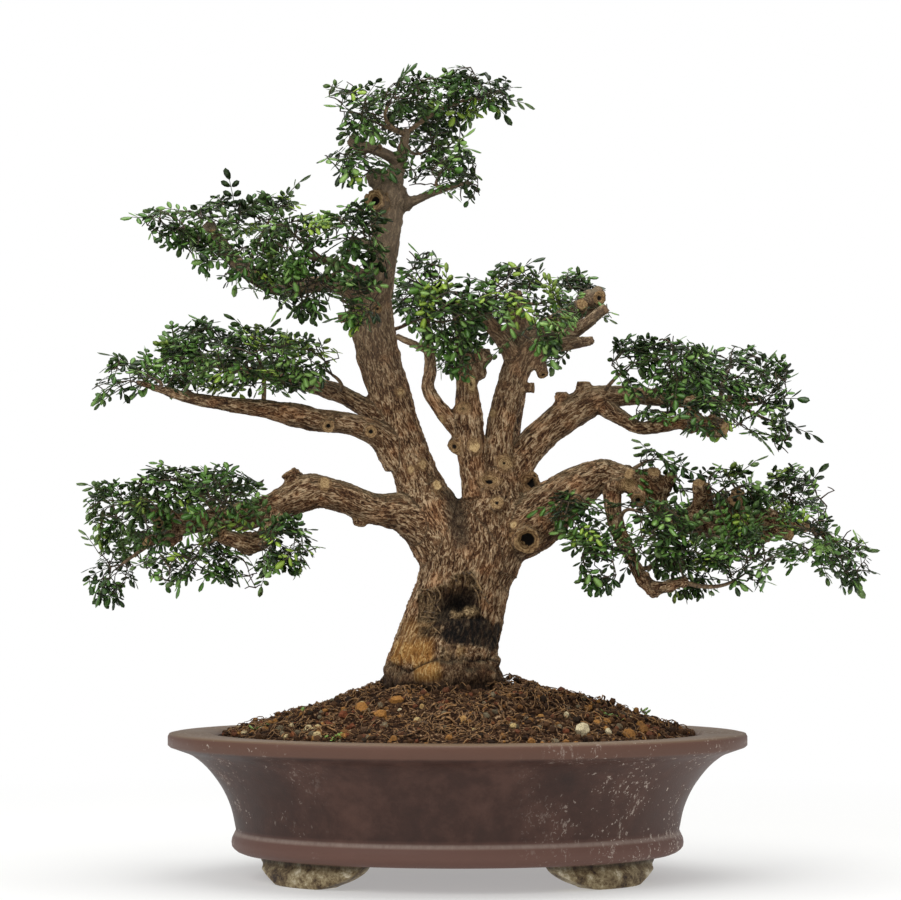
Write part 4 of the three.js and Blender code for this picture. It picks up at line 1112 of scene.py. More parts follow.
def leafPlaces(pairs, place, scale, chance, young):
    # a compound leaf: its leaflets, with a tone and youth for each, and the stalk they stand on
    made = []
    tone = chance.random()
    solid = scale == 1

    def about(size):
        return chance.uniform(-size, size)
    for pair in range(pairs):
        notch = (leaf["stalk"] + pair * leaf["pitch"]) * scale
        small = leaflet["smallest"]
        taper = 1 if solid else small + (1 - small) * (pair + 1) / pairs
        for hand in (-1, 1):
            if not solid and chance.random() < leaflet["missing"]:
                continue
            start = onLeaf(place, notch + leaflet["start"] * scale, hand * 0.3)
            ahead = (place["ahead"] * (leaf["point"][0] - leaflet["start"])
                     + place["side"] * hand * (leaf["point"][1] - 0.5)
                     + place["up"] * about(2.5))
            ahead = unit(ahead) + [about(leaflet["jitter"]) for _ in range(3)]
            up = place["up"] + place["side"] * about(0.5) + place["ahead"] * about(0.4)
            length = leaflet["length"] * scale * taper * (1 + about(0.1))
            made.append((leafletPlace(start, ahead, up, length, 1 + about(0.12)),
                         tone + about(0.14), young))
    last = (leaf["stalk"] + pairs * leaf["pitch"]) * scale
    ahead = place["ahead"] - place["up"] * 0.01 * last
    made.append((leafletPlace(onLeaf(place, last, 0), ahead, place["up"],
                              leaf["endLength"] * 0.92 * scale, 1.1), tone, young))
    stalk = np.array([[*onLeaf(place, t * last, 0), 0.42 - 0.14 * t]
                      for t in (-0.02, 0.5, 1.02)])
    return made, stalk


def bentLine(start, bend, end, startRadius, endRadius, steps):
    t = np.linspace(0, 1, steps + 1)[:, None]
    line = (1 - t) ** 2 * start + 2 * t * (1 - t) * bend + t ** 2 * end
    return np.hstack([line, startRadius + (endRadius - startRadius) * t])


def padGoals(pad, bark, chance):
    # ends for the pad's added twigs: spaced out in its clumps, clear of bark, mostly near the skin
    goals = np.empty((0, 3))
    homes = []
    for clump in pads[pad][1] + fillClumps[pad]:
        centre = np.array(clump[:3], float)
        size = np.array([clump[3], clump[3], clump[4]], float)
        for _ in range(foliage["tries"]):
            spot = np.array([chance.uniform(-1, 1) for _ in range(3)])
            out = np.linalg.norm(spot)
            kept = chance.random() < foliage["inner"] or out > foliage["core"]
            if out > 1 or not kept:
                continue
            goal = centre + spot * size * foliage["fill"]
            if len(goals) and np.linalg.norm(goals - goal, axis=1).min() < foliage["spacing"]:
                continue
            near = np.linalg.norm(bark[:, :3] - goal, axis=1) - bark[:, 3]
            if near.min() < foliage["barkClear"]:
                continue
            goals = np.vstack([goals, goal])
            homes.append((centre, size))
    return goals, homes


def depthIn(pad, places):
    # up to 1 in the middles of the pad's clumps, 0 at their skin and less outside
    clumps = np.array(pads[pad][1] + fillClumps[pad], float)
    offset = np.atleast_2d(places)[:, None] - clumps[None, :, :3]
    return 1 - np.linalg.norm(offset / clumps[None, :, [3, 3, 4]], axis=2).min(axis=1)


def growTwigs(pad, grown, bark, chance):
    # each end is joined to the nearest wood by a thin curved twig, the closest ends first
    goals, homes = padGoals(pad, bark, chance)
    wood = [point[:3] for name in pads[pad][0] for point in pointsAlong(limbs[name], 5)]
    nodes = np.vstack([wood, *[one["twig"][3:, :3] for one in grown]])
    twigs, ends = [], []
    for index in np.argsort([np.linalg.norm(nodes - goal, axis=1).min() for goal in goals]):
        goal = goals[index]
        away = np.linalg.norm(nodes - goal, axis=1)
        start = nodes[away.argmin()]
        length = away.min()
        sway = [chance.uniform(-1, 1) * foliage["sway"] * length for _ in range(3)]
        bend = (start + goal) / 2 + sway + np.array([0, 0, foliage["rise"] * length])
        steps = max(2, round(length / foliage["nodeStep"]))
        more, most = foliage["thicker"]
        thick = foliage["lowest"] + min(most, more * length)
        line = bentLine(start, bend, goal, thick, foliage["lowest"], steps)
        twigs.append(line)
        nodes = np.vstack([nodes, line[2:, :3]])
        ends.append((line[-3:, :3], *homes[index]))
    return twigs, ends


def leavesAt(pad, end, chance):
    # leaves round the end of a twig, spreading outwards and up, or hanging where it is low
    line, centre, size = end
    made, stalks = [], []
    goal = line[-1]
    run = unit(goal - line[0])
    outward = (goal - centre) / size
    sidewards = unit(np.array([outward[0], outward[1], 0]) + 1e-6)
    lift = foliage["lift"][0 if outward[2] > -0.1 else 1]

    def about(size):
        return chance.uniform(-size, size)
    young = 1 if chance.random() < foliage["young"] else 0
    for number in range(chance.choice(foliage["leaves"])):
        back = goal + (line[0] - goal) * 0.35 * number
        scale = chance.uniform(*foliage["scale"])
        pairs = chance.randint(*foliage["pairs"])
        for attempt in range(8):
            ahead = unit(foliage["onward"] * run + foliage["outward"] * outward + [0, 0, lift]
                         + [about(size) for size in foliage["spread"]])
            tip = back + ahead * leafLength(pairs) * scale * 0.95
            if depthIn(pad, tip)[0] > 1 - foliage["reach"]:
                break
            pairs = max(1, pairs - (attempt % 2))
        else:
            continue
        face = np.array([0, 0, 0.75]) + 0.5 * sidewards + [about(0.5), about(0.5), about(0.3)]
        up = unit(face - ahead * face.dot(ahead))
        leaflets, stalk = leafPlaces(pairs, frameOf(back, ahead, up, 1), scale, chance, young)
        made += leaflets
        stalks.append(stalk)
    return made, stalks


def makeLeaves(pattern, blades, stems):
    chance = random.Random(foliage["seed"])
    bark = np.array([p for line in [trunk["rings"], *limbs.values()]
                     for p in pointsAlong(line, 5)])
    stalks, twigs = [], []
    for pad in pads:
        made = []
        grown = [one for one in sprays if one["pad"] == pad]
        for one in grown:
            stem = one["stem"]
            far = stem["from"] + stem["ahead"] * (shoot["length"] + shoot["fork"])
            middle = (stem["from"] + far) / 2
            twigs.append(bentLine(stem["from"] - stem["ahead"], middle, far, 0.9, 0.6, 2))
            for pairs, place in one["leaves"]:
                leaflets, stalk = leafPlaces(pairs, place, 1, chance, 0)
                made += leaflets
                stalks.append(stalk)
        added, ends = growTwigs(pad, grown, bark, chance)
        twigs += added
        for end in ends:
            if chance.random() >= foliage["bare"]:
                leaflets, lines = leavesAt(pad, end, chance)
                made += leaflets
                stalks += lines
        places, tones, youths = (np.array(each) for each in zip(*made))
        middles = (places[:, :3, 3] + places[:, :3, 0] / 2 - [potMiddle, 0, 0]) * 1000
        # painted shade: leaflets deep in a clump are painted darker
        tones = tones - foliage["inside"] * np.clip(depthIn(pad, middles), 0, 1)
        mesh = stamped(pattern, places, {"leafTone": tones, "leafYouth": youths})
        piece = newPiece(f"leaves_{pad}", mesh, blades)
        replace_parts(piece, *[f"leaf_spray_{pad}_{one['number']}" for one in grown])
        print("leaves:", pad, len(made), "leaflets on", len(ends), "twigs")
    newPiece("leaf_stalks", tubes(stalks, 0), stems[:1])
    newPiece("fine_twigs", tubes(twigs, 0), stems[1:])


def makeTwigs(materials):
    piece = newPiece("twigs", tubes([one["twig"] for one in sprays], 2), materials)
    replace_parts(piece, "tree_wood")


def glossyLeaf(name, stops, youngColour, roughness):
    # waxy leaflets: dark green with soft bluish gloss, paler and duller underneath
    material, tree, shader, place = newMaterial(name)
    tone, youth, across = [addNode(tree, "Attribute", {"attribute_name": "leaf" + key}, "Fac")
                           for key in ("Tone", "Youth", "Across")]
    mottle = addNode(tree, "TexNoise", {"Vector": place, "Scale": 300, "Detail": 3})  # 3 mm cells
    mixed = addNode(tree, "Math", {"operation": "MULTIPLY_ADD", 0: mottle, 1: 0.35, 2: -0.17})
    shade = addNode(tree, "Math", {"operation": "ADD", 0: tone, 1: mixed})
    colour = addNode(tree, "ValToRGB", {"Fac": shade, "stops": stops})
    away = addNode(tree, "Math", {"operation": "ABSOLUTE", 0: across})
    rib = addNode(tree, "MapRange", {
        "Value": away, "From Min": 0.22, "From Max": 0.02, "To Max": 0.22})
    for share, over in ((youth, youngColour), (rib, "#7c9a5a")):
        colour = addNode(tree, "MixRGB", {"Fac": share, "Color1": colour, "Color2": over})
    bump = addNode(tree, "Bump", {"Height": mottle, "Strength": 0.25, "Distance": 0.0003})
    setInputs(tree, shader, {"Base Color": colour, "Normal": bump, "Roughness": roughness,
                             "Specular IOR Level": 0.4})
    return material


def woodyStem(name, dark, light):
    # thin young wood: dark brown skin with paler scars of 2.5 mm
    material, tree, shader, place = newMaterial(name)
    grain = addNode(tree, "TexNoise", {"Vector": place, "Scale": 400, "Detail": 4})
    colour = addNode(tree, "ValToRGB", {"Fac": grain, "stops": [(0.35, dark), (0.68, light)]})
    setInputs(tree, shader, {"Base Color": colour, "Roughness": 0.7})
    return material


# Soil

soil = {
    "edge": 109.4, "crown": 151, "sunk": 6, "lump": 2.6, "lean": 0.012,
    "steps": 360, "rings": 66,
    "holeBottom": 72, "holeRadius": 38, "stumpTop": 153, "stumpRadius": 47.3, "middle": -11,
    "bowl": [(188, 109), (174, 80), (158, 36), (150, 28)],
    "depthRatio": 0.78,
    "settled": 33,  # how far the earth has sunk between trunk and rim, in the scene alone
    "gap": 0.55,  # between the trunk and the sides of its hole
    "clear": (0.7, 0.35),  # between the earth and the pot's wall and floor
    "seed": 5,
    "foot": (0.3, 0.38),  # shares of the way out between which the mound begins
    "bedded": 0.15,  # how far a stone's middle stands above the earth, against its size
    "stretch": (0.7, 1.25), "tilt": 0.7,
    # how many, how near and far out, how large, and which colours
    "stones": (260, 0.4, 0.97, (2.4, 6), [0, 1, 1, 4, 2, 3]),
    "crumbs": (2500, 0.29, 0.985, (1.8, 6.4), [4, 4, 4, 4, 4, 1.2, 2.2]),
    # seedlings: x, y and number of leaves
    "weeds": [(-150, -38, 8), (-92, -116, 12), (-84, -112, 6), (117, -62, 9), (60, 90, 9),
              (-60, 96, 7), (-118, -30, 5), (146, 20, 6)],
}

# fine roots on the earth, drawn in short steps that turn at random
roots = {
    "count": 760, "reach": (0.27, 0.93), "end": 184,
    "steps": (6, 15), "step": 3, "turn": 0.95,
    "radii": [0.3, 0.4, 0.4, 0.55, 0.8], "taper": 0.04,
    "wave": 1.9,  # how far a root rises out of the crumbs and dips into them
}

# larger stones seen in the photo: x, y, size and colour index
soilStones = [
    (92, -104, 12, 0), (4, -104, 8, 0.4), (-104, -108, 8, 0.3), (-84, -112, 8, 0.6),
    (140, -72, 9, 1), (150, -60, 8, 2), (98, -112, 7, 4), (-52, -92, 6, 1), (62, -88, 6.5, 1),
    (-96, -84, 6, 2),
    (-70, -100, 5, 2), (121, -78, 6, 3), (38, -104, 5.5, 1), (140, -64, 5, 1), (-126, -62, 5, 0),
    (-72, -72, 11, 1), (-58, -80, 10, 1), (-86, -80, 9, 2), (-46, -62, 11, 1), (-102, -90, 9, 1),
    (-112, -76, 8, 0), (-120, -88, 7, 3), (-134, -70, 8, 3), (128, -88, 8, 1), (112, -72, 7, 1),
    (144, -78, 7, 2), (104, -84, 6, 1), (-30, -100, 7, 0), (-84, -104, 8, 1), (-108, -104, 6, 3),
    (-10, -96, 5, 3), (80, -112, 5, 2), (20, -84, 5, 2), (112, -96, 5.5, 0), (-36, -112, 5, 1),
]


def soilTop(reach, x, y):
    mound = soil["edge"] + (soil["crown"] - soil["edge"]) * (1 - reach ** 2)
    lumps = np.sin(x * 0.11 + 1.3) * np.cos(y * 0.13) + np.sin(x * 0.07 - y * 0.09)
    mound = mound - soil["settled"] * np.clip(reach - 0.3, 0, 1) * (1 - reach) / 0.7
    return mound + (soil["lump"] * lumps + soil["lean"] * x) * (1 - reach ** 6)


def soilPlace(reach, angle):
    # a point on the mound at a share of the way out and an angle from +X
    fade = 1 - reach
    ratio = soil["depthRatio"] + (trunk["depthRatio"] - soil["depthRatio"]) * fade
    length = (soil["bowl"][0][0] - soil["clear"][0]) * reach - fade
    x = soil["middle"] * fade + np.cos(angle) * length
    y = np.sin(angle) * length * ratio
    return x, y


def crumbly(x, y, reach):
    # height that the crumbs add to the plain mound
    flat = np.stack([x, y, np.zeros_like(x)], axis=-1)
    height = (2.2 * softNoise(flat / 13, 1) + 1.8 * softNoise(flat / 5.5, 2)
              + 1.3 * np.abs(softNoise(flat / 2.8, 3)))
    return height * (1 - reach ** 10)


def moundHeight(x, y):
    # the mound under points, found from how far out they lie
    reach = np.clip(np.hypot(x, y / soil["depthRatio"]) / soil["bowl"][0][0], 0.2, 1)
    return soilTop(reach, x, y) + crumbly(x, y, reach)


def groundAt(x, y):
    return float(moundHeight(np.array([x]), np.array([y]))[0])


def makeSoil(materials):
    taper = (soil["stumpRadius"] - soil["holeRadius"]) / (soil["stumpTop"] - soil["holeBottom"])
    holeTop = soil["crown"] - soil["sunk"]
    bottom = soil["holeBottom"]
    holeRow, topRow, bowlRow = 0, 1, 2
    rows = [(holeRow, 0, bottom), (holeRow, soil["holeRadius"] + soil["gap"], bottom),
            (holeRow, soil["holeRadius"] + taper * (holeTop - bottom) + soil["gap"], holeTop)]
    rows += [(topRow, reach, 0) for reach in np.linspace(soil["foot"][0], 1, soil["rings"])]
    wall, floor = soil["clear"]
    rows += [(bowlRow, r - wall, z + floor) for r, z in soil["bowl"][1:]]
    rows += [(bowlRow, 0, soil["bowl"][-1][1] + floor)]
    # each row of the shape is turned with its number as its height, then set in its place
    mesh = meshOf(spun([(1 if row[1] else 0, i) for i, row in enumerate(rows)], soil["steps"],
                       1e-4), "soil")
    points = meshPoints(mesh.vertices)
    rowOf = np.round(points[:, 2]).astype(int)
    angle = np.arctan2(points[:, 1], points[:, 0])
    for i, (kind, r, z) in enumerate(rows):
        mine = rowOf == i
        if kind == topRow:
            x, y = soilPlace(r, angle[mine])
            reach = np.full_like(x, r)
            height = holeTop + (soilTop(reach, x, y) - holeTop) * smoothStep(*soil["foot"], r)
            height = height + crumbly(x, y, reach)
        else:
            ratio, shift = ((trunk["depthRatio"], soil["middle"]) if kind == holeRow
                            else (soil["depthRatio"], 0))
            x = shift + points[mine, 0] * r
            y = points[mine, 1] * r * ratio
            height = np.full_like(x, z)
        points[mine] = np.stack([x, y, height], axis=1)
    setMeshPoints(mesh, toScene(points))
    mesh.shade_smooth()
    print("soil:", len(mesh.polygons), "faces")
    piece = newPiece("soil_mound", mesh, materials)
    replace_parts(piece, "soil")


def stoneMesh(levels, seed):
    # a lump of radius 1 with a rough skin
    shape = random.Random(seed)
    lump = bmesh.new()
    for vert in bmesh.ops.create_icosphere(lump, subdivisions=levels, radius=1)["verts"]:
        vert.co *= shape.uniform(0.8, 1.15)
    return meshOf(lump, "stone")


def scattered(spots, pattern, chance):
    # the pattern on the mound at each x, y, size and tint
    places = []
    for x, y, size, _ in spots:
        z = groundAt(x, y) + size * soil["bedded"]
        stretch = [size / 2000 * chance.uniform(*soil["stretch"]) for _ in range(3)]
        places.append(np.array(Matrix.Translation(toScene([x, y, z]))
                               @ Matrix.Rotation(chance.uniform(0, 6.28), 4, "Z")
                               @ Matrix.Rotation(chance.uniform(-1, 1) * soil["tilt"], 4, "X")
                               @ Matrix.Diagonal((*stretch, 1))))
    tints = [spot[3] + chance.uniform(0.05, 0.95) for spot in spots]
    return stamped(pattern, places, {"stoneTint": tints})


def makeStones(materials):
    chance = random.Random(soil["seed"])

    def strewn(count, nearest, farthest, sizes, tints):
        spots = []
        for _ in range(count):
            x, y = soilPlace(chance.uniform(nearest, farthest), chance.uniform(0, 2 * math.pi))
            spots.append((float(x), float(y), chance.uniform(*sizes), chance.choice(tints)))
        return spots
    stones = soilStones + strewn(*soil["stones"])
    crumbs = strewn(*soil["crumbs"])
    newPiece("soil_stones", scattered(stones, stoneMesh(2, 9), chance), materials)
    newPiece("soil_crumbs", scattered(crumbs, stoneMesh(1, 12), chance), materials)


def makeRoots(materials):
    chance = random.Random(soil["seed"] + 1)
    lines = []
    for _ in range(roots["count"]):
        reach = chance.uniform(*roots["reach"]) ** 1.05
        angle = chance.uniform(0, 2 * math.pi)
        x, y = (float(v) for v in soilPlace(reach, angle))
        heading = angle + chance.uniform(-1.4, 1.4)
        radius = chance.choice(roots["radii"])
        line = []
        for step in range(chance.randint(*roots["steps"])):
            if np.hypot(x, y / soil["depthRatio"]) > roots["end"]:
                break
            line.append([x, y, math.sin(step * chance.uniform(0.5, 1.1)) * roots["wave"] + 1.8,
                         radius * (1 - roots["taper"] * step)])
            heading += chance.uniform(-roots["turn"], roots["turn"])
            x += roots["step"] * math.cos(heading)
            y += roots["step"] * math.sin(heading)
        if len(line) > 3:
            line = np.array(line)
            line[:, 2] += moundHeight(line[:, 0], line[:, 1])
            lines.append(smoothLine(line, 2.4))
    newPiece("surface_roots", tubes(lines, 0), materials)
    print("roots:", len(lines))


def makeWeeds(pattern, materials):
    # small green seedlings where the photo shows them, and a few more behind
    chance = random.Random(soil["seed"] + 2)
    places = []
    for x, y, count in soil["weeds"]:
        for _ in range(count):
            angle = chance.uniform(0, 2 * math.pi)
            ahead = np.array([math.cos(angle), math.sin(angle), chance.uniform(0.2, 1.1)])
            at = [x + chance.uniform(-7, 7), y + chance.uniform(-4, 4)]
            places.append(leafletPlace([*at, groundAt(*at) + chance.uniform(0, 3)], ahead,
                                       np.array([0.1, -0.2, 1.0]), chance.uniform(3, 6.5), 1.1))
    mesh = stamped(pattern, places, {"leafTone": [chance.uniform(0.5, 1.1) for _ in places],
                                     "leafYouth": [chance.uniform(0.1, 0.6) for _ in places]})
    newPiece("weeds", mesh, materials)


def dampSoil():
    # damp potting earth: dark brown crumbs, dull, with fine pale grit and bits of bark
    material, tree, shader, place = newMaterial("dampSoil")
    crumb = addNode(tree, "TexVoronoi", {"Vector": place, "Scale": 420})  # 2.4 mm crumbs
    fleck = addNode(tree, "TexNoise", {
        "Vector": place, "Scale": 330, "Detail": 5, "Roughness": 0.7})
    colour = addNode(tree, "ValToRGB", {"Fac": fleck, "stops": [
        (0.36, "#0c0603"), (0.49, "#2c1b10"), (0.58, "#614630"), (0.67, "#b09472")]})
    bump = addNode(tree, "Bump", {"Height": crumb, "Strength": 0.9, "Distance": 0.0012})
    setInputs(tree, shader, {"Base Color": colour, "Normal": bump, "Roughness": 0.93,
                             "Specular IOR Level": 0.1})
    return material


def mixedGrit():
    # stones of several rocks: cream quartz, tan, rust, grey, and crumbs of bark and earth
    material, tree, shader, place = newMaterial("mixedGrit")
    tint = addNode(tree, "Attribute", {"attribute_name": "stoneTint"}, "Fac")
    share = addNode(tree, "Math", {"operation": "DIVIDE", 0: tint, 1: 5})
    colour = addNode(tree, "ValToRGB", {"Fac": share, "stops": [
        (0.0, "#ddd0ac"), (0.17, "#c2a974"), (0.22, "#b07c40"), (0.38, "#7f5a33"),
        (0.42, "#80492f"), (0.58, "#5c3c29"), (0.62, "#857960"), (0.78, "#524837"),
        (0.82, "#1f120a"), (0.9, "#62452d"), (1.0, "#120a06")]})
    speck = addNode(tree, "TexNoise", {"Vector": place, "Scale": 900, "Detail": 4})
    dirty = addNode(tree, "MapRange", {
        "Value": speck, "From Min": 0.45, "From Max": 0.62, "To Max": 0.45})
    colour = addNode(tree, "MixRGB", {"Fac": dirty, "Color1": colour, "Color2": "#2a1c12"})
    setInputs(tree, shader, {"Base Color": colour, "Roughness": 0.85, "Specular IOR Level": 0.2})
    return material


# Pot

pot = {
    "depthRatio": 0.78,
    "turns": 160,
    "band": [(152, 19), (168, 20), (175, 25), (175, 31)],
    "wall": [(172, 37.5), (176, 55), (183.5, 71), (195, 86), (206, 95), (213, 98)],
    "lip": [(223.4, 101.6), (225, 103), (225, 109.6), (224, 111.6), (221, 112.2)],
    "inside": [(192, 112), (188, 109), (174, 80), (158, 36), (150, 28)],
    "underside": 19, "floor": 28,
    "drains": (-78, 0, 78), "drainRadius": 12,
}
foot = {
    "angles": (38, 142, 218, 322),
    "reach": 160, "arcRadius": 141, "thickness": 20,
    "outline": [
        (-60, 24), (-57, 17), (-48, 12.5), (-36, 7), (-25, 2.5), (-15, 0), (24, 0), (36, 3),
        (48, 7.5), (58, 14), (64, 24),
    ],
    "groove": (10.5, 14.5, 3.5),  # above these heights the outer face is set back this far
    "bevel": 2.2, "joint": 23.5,  # its edges are rounded up to where it meets the pot
    "levels": (10.5, 14.5, 19), "slices": range(-50, 51, 10),  # cuts that let the block bend
}


def roundedProfile(points, cuts):
    # a smooth curve through the points of a profile
    return [(r, z) for r, _, z, _ in smoothLine([[r, 0, z, 0] for r, z in points], cuts)]


def makePot(materials):
    profile = [(0, pot["underside"]), *roundedProfile(pot["band"], 2.5),
               *roundedProfile(pot["wall"], 5), *pot["lip"], *pot["inside"], (0, pot["floor"])]
    clay = spun([(r / 1000, z / 1000) for r, z in profile], pot["turns"], 1e-6)
    bmesh.ops.scale(clay, vec=(1, pot["depthRatio"], 1), verts=clay.verts)
    bmesh.ops.translate(clay, vec=(potMiddle, 0, 0), verts=clay.verts)
    drill = bmesh.new()
    for x in pot["drains"]:
        bmesh.ops.create_cone(drill, cap_ends=True, segments=32, radius1=pot["drainRadius"] / 1000,
                              radius2=pot["drainRadius"] / 1000, depth=2 * pot["floor"] / 1000,
                              matrix=Matrix.Translation(toScene([x, 0, pot["floor"]])))
    driller = linked("drill", meshOf(drill, "drill"))
    drilled = finishedMesh(meshOf(clay, "pot"), [
        ("BOOLEAN", {"object": driller, "operation": "DIFFERENCE", "solver": "EXACT"})])
    bpy.data.objects.remove(driller)
    mesh = joined([drilled, *[footMesh(angle) for angle in foot["angles"]]])
    mesh.polygons.foreach_set("material_index", np.zeros(len(mesh.polygons), np.int32))
    mesh.shade_smooth()
    print("pot:", len(mesh.polygons), "faces")
    piece = newPiece("clay_pot", mesh, materials)
    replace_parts(piece, "pot")


def footMesh(centreAngle):
    # the cloud outline, extruded, rounded, then bent round the oval of the pot's base
    block = bmesh.new()
    face = block.faces.new([block.verts.new((x, z, 0))
                            for x, z in roundedProfile(foot["outline"], 3)])
    made = bmesh.ops.extrude_face_region(block, geom=[face])["geom"]
    top = [part for part in made if isinstance(part, bmesh.types.BMVert)]
    bmesh.ops.translate(block, vec=(0, 0, foot["thickness"]), verts=top)
    bmesh.ops.recalc_face_normals(block, faces=block.faces)
    ends = [edge for edge in block.edges
            if abs(edge.verts[0].co.z - edge.verts[1].co.z) < 0.01
            and min(edge.verts[0].co.y, edge.verts[1].co.y) < foot["joint"]]
    bmesh.ops.bevel(block, geom=ends, offset=foot["bevel"], segments=3, profile=0.5, material=-1,
                    affect="EDGES")
    low, high, setBack = foot["groove"]
    for height in foot["levels"]:
        cut(block, (0, height, 0), (0, 1, 0))
    for x in foot["slices"]:
        cut(block, (x, 0, 0), (1, 0, 0))
    start = math.radians(centreAngle)
    hand = math.copysign(1, math.tan(start))
    for vert in block.verts:
        x, z, across = vert.co
        outward = across if hand > 0 else foot["thickness"] - across
        outward -= setBack * outward / foot["thickness"] * float(smoothStep(low, high, z))
        angle = start + hand * x / foot["arcRadius"]
        reach = foot["reach"] - foot["thickness"] + outward
        vert.co = toScene([
            reach * math.cos(angle),
            (reach - foot["reach"] * (1 - pot["depthRatio"])) * math.sin(angle), max(z, 0)])
    bmesh.ops.recalc_face_normals(block, faces=block.faces)
    return meshOf(block, "foot")


def agedClay():
    # unglazed purple clay: satin where it is worn smooth, a rim and band paler from wear and from
    # painted light, upward faces paler as painted top light, lime flecks and runs on its ends,
    # lichen and earth on its feet, and painted shade beneath the band
    material, tree, shader, place = newMaterial("agedPurpleClay")
    across, height = [addNode(tree, "SeparateXYZ", {"Vector": place}, axis) for axis in "XZ"]
    facing = addNode(tree, "NewGeometry", {}, "Normal")
    upward = addNode(tree, "SeparateXYZ", {"Vector": facing}, "Z")
    upright = addNode(tree, "Mapping", {"Vector": place, "Scale": (1, 1, 0.35)})
    cloud, blotch, grain, lime, lichen = [
        addNode(tree, "TexNoise", {
            "Vector": source, "Scale": scale, "Detail": detail, "Roughness": rough})
        for source, scale, detail, rough in (
            (place, 16, 6, 0.6), (place, 90, 5, 0.65),  # 60 mm clouds and 11 mm blotches
            (place, 700, 4, 0.5), (upright, 210, 9, 0.78), (place, 60, 9, 0.78))]
    mixed = addNode(tree, "Math", {"operation": "MULTIPLY_ADD", 0: blotch, 1: 0.45, 2: cloud})
    gathered = addNode(tree, "Math", {"operation": "MULTIPLY_ADD", 0: cloud, 1: 0.5, 2: lime})
    ledge = addNode(tree, "Math", {"operation": "SUBTRACT", 0: height, 1: 0.0355})
    ledge = addNode(tree, "Math", {"operation": "ABSOLUTE", 0: ledge})
    warp = addNode(tree, "TexNoise", {"Vector": place, "Scale": 330, "Detail": 2}, "Color")
    warp = addNode(tree, "VectorMath", {
        "operation": "MULTIPLY_ADD", 0: warp, 1: (0.008, 0.008, 0.008), 2: place})
    cells = addNode(tree, "TexVoronoi", {"Vector": warp, "Scale": 280})  # 3.6 mm cells
    chosen = addNode(tree, "SeparateColor", {"Color": cells.node.outputs["Color"]}, "Red")
    # clayTopLight paints upward-facing clay paler: painted top light
    reddish, band, lip, clayTopLight, ledge, rightEnd, leftEnd, runs, fleck, patchy, low, shadeUnderBand = [
        addNode(tree, "MapRange", {
            "Value": source, "From Min": start, "From Max": full, "To Max": most})
        for source, start, full, most in (
            (across, 0.06, 0.2, 0.6), (height, 0.040, 0.034, 0.8), (height, 0.1005, 0.1025, 0.8),
            (upward, 0.5, 0.95, 0.8), (ledge, 0.0022, 0.0006, 0.5), (across, 0.02, 0.15, 1),
            (across, -0.11, -0.2, 0.6), (gathered, 0.85, 0.91, 1), (cells, 0.3, 0.22, 1),
            (mixed, 0.68, 0.9, 1), (height, 0.019, 0.0175, 1), (height, 0.013, 0.019, 1))]
    # lime: a thin line where the band begins, and flecks and runs, most of them on the right
    kept = addNode(tree, "Math", {"operation": "LESS_THAN", 0: chosen, 1: patchy})
    fleck = addNode(tree, "Math", {"operation": "MULTIPLY", 0: fleck, 1: kept})
    spots = addNode(tree, "Math", {"operation": "MAXIMUM", 0: runs, 1: fleck})
    ends = addNode(tree, "Math", {"operation": "ADD", 0: rightEnd, 1: leftEnd})
    spots = addNode(tree, "Math", {
        "operation": "MULTIPLY", "use_clamp": True, 0: spots, 1: ends})
    ledge = addNode(tree, "Math", {"operation": "MULTIPLY", 0: ledge, 1: lime})
    spots = addNode(tree, "Math", {"operation": "MAXIMUM", 0: spots, 1: ledge})
    # painted shade: clay from 13 to 19 mm high, beneath the band and at the tops of the feet, is
    # painted near black
    shadeUnderBand = addNode(tree, "Math", {"operation": "MULTIPLY", 0: shadeUnderBand, 1: low})
    colour = addNode(tree, "ValToRGB", {"Fac": mixed, "stops": [
        (0.5, "#2f1c15"), (0.7, "#3c251d"), (0.9, "#50362d")]})
    mossed = addNode(tree, "ValToRGB", {"Fac": lichen, "stops": [
        (0.38, "#33241a"), (0.46, "#6f5c40"), (0.54, "#a39370"), (0.63, "#e4dac0")]})
    # the lip and the band are paler than the wall: worn edges, and painted light where light falls
    # on them more than on the wall under the rim
    for share, over in (
        (reddish, "#61463c"), (band, "#6f5046"), (lip, "#65473a"), (clayTopLight, "#7c6750"),
        (spots, "#c3b5a8"), (low, mossed), (shadeUnderBand, "#1c130d"),
    ):
        colour = addNode(tree, "MixRGB", {"Fac": share, "Color1": colour, "Color2": over})
    worn = addNode(tree, "MapRange", {
        "Value": cloud, "From Min": 0.3, "From Max": 0.7, "To Min": 0.42, "To Max": 0.62})
    bump = addNode(tree, "Bump", {"Height": grain, "Strength": 0.35, "Distance": 0.0004})
    setInputs(tree, shader, {"Base Color": colour, "Normal": bump, "Roughness": worn,
                             "Specular IOR Level": 0.3})
    return material


# Stage: plain pale floor and soft studio light

studio = {
    "floor": "#f2f2f0",
    "fade": (0.5, 1.2),  # metres from the pot where the floor turns to a plain white glow
    "lit": 0.35,  # share of white glow under the pot: painted light that lightens the pot's shadow
    "world": 0.55,
    # power, size and place of each light
    "lights": {"key": (17, 1.3, (-1.1, -1.7, 1.7)), "top": (42, 2.2, (0.1, -0.1, 2.3))},
}


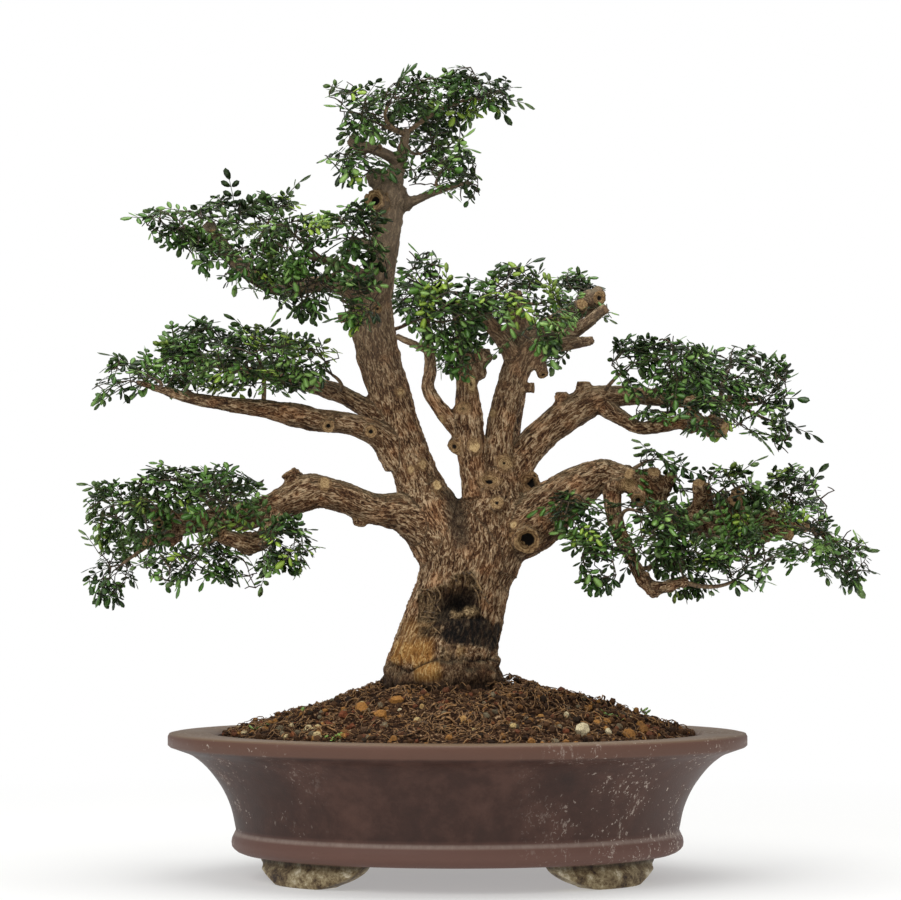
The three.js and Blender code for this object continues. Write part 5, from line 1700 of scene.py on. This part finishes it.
def makeStage():
    plane = bmesh.new()
    bmesh.ops.create_grid(plane, x_segments=1, y_segments=1, size=8)
    floor = linked("floor", meshOf(plane, "floor"))
    material, tree, shader, place = newMaterial("paleFloor")
    setInputs(tree, shader, {"Base Color": studio["floor"], "Roughness": 0.9})
    near, far = studio["fade"]
    away = addNode(tree, "VectorMath", {"operation": "LENGTH", 0: place}, "Value")
    faded = addNode(tree, "MapRange", {
        "Value": away, "From Min": near, "From Max": far, "To Min": studio["lit"],
        "interpolation_type": "SMOOTHSTEP"})
    # the floor glows: emission mixed in, a share of it under the pot as painted light on its shadow,
    # and plain white far out
    white = addNode(tree, "Emission", {})
    mixed = addNode(tree, "MixShader", {0: faded, 1: shader.outputs[0], 2: white})
    setInputs(tree, tree.nodes["Material Output"], {"Surface": mixed})
    floor.data.materials.append(material)

    # the camera sees a white backdrop, and the tree is lit by a softer one
    world = bpy.data.worlds.new("studio")
    world.use_nodes = True
    tree = world.node_tree
    soft = tree.nodes["Background"]
    setInputs(tree, soft, {"Color": (1, 1, 1, 1), "Strength": studio["world"]})
    seen = addNode(tree, "Background", {"Color": (1, 1, 1, 1), "Strength": 1})
    direct = addNode(tree, "LightPath", {}, "Is Camera Ray")
    both = addNode(tree, "MixShader", {0: direct, 1: soft.outputs[0], 2: seen})
    setInputs(tree, tree.nodes["World Output"], {"Surface": both})
    bpy.context.scene.world = world
    for name, (power, size, place) in studio["lights"].items():
        data = bpy.data.lights.new(name, "AREA")
        data.energy = power
        data.size = size
        light = linked(name, data)
        light.location = place
        aim = Vector((0, 0, 0.3)) - light.location
        light.rotation_euler = aim.to_track_quat("-Z", "Y").to_euler()


bpy.context.scene.view_settings.view_transform = "Standard"
sprays = growSprays()
barkMaterial = furrowedBark()
makeWood([barkMaterial])
makeTwigs([woodyStem("twigBark", "#3b2a1c", "#8b7150")])
makeTornFibres([woodyStem("tornWood", "#33241a", "#94774f")])
leafSides = [
    glossyLeaf("waxyLeafTop", [
        (0.0, "#122407"), (0.25, "#2e5016"), (0.55, "#527d2e"), (1.0, "#8bae5c"),
    ], "#93b03f", 0.3),
    glossyLeaf("leafUnderside", [
        (0.0, "#1e3010"), (0.5, "#517034"), (1.0, "#8dab68"),
    ], "#93ad4c", 0.45),
]
leafletPattern = leafletMesh()
makeLeaves(leafletPattern, leafSides, [
    woodyStem("leafStalk", "#23240f", "#4a4d24"), woodyStem("youngTwig", "#221911", "#54412c"),
])
makeSoil([dampSoil()])
makeStones([mixedGrit()])
makeWeeds(leafletPattern, leafSides)
makeRoots([woodyStem("dryRoot", "#2c1a0c", "#ad814f")])
makePot([agedClay()])
makeStage()
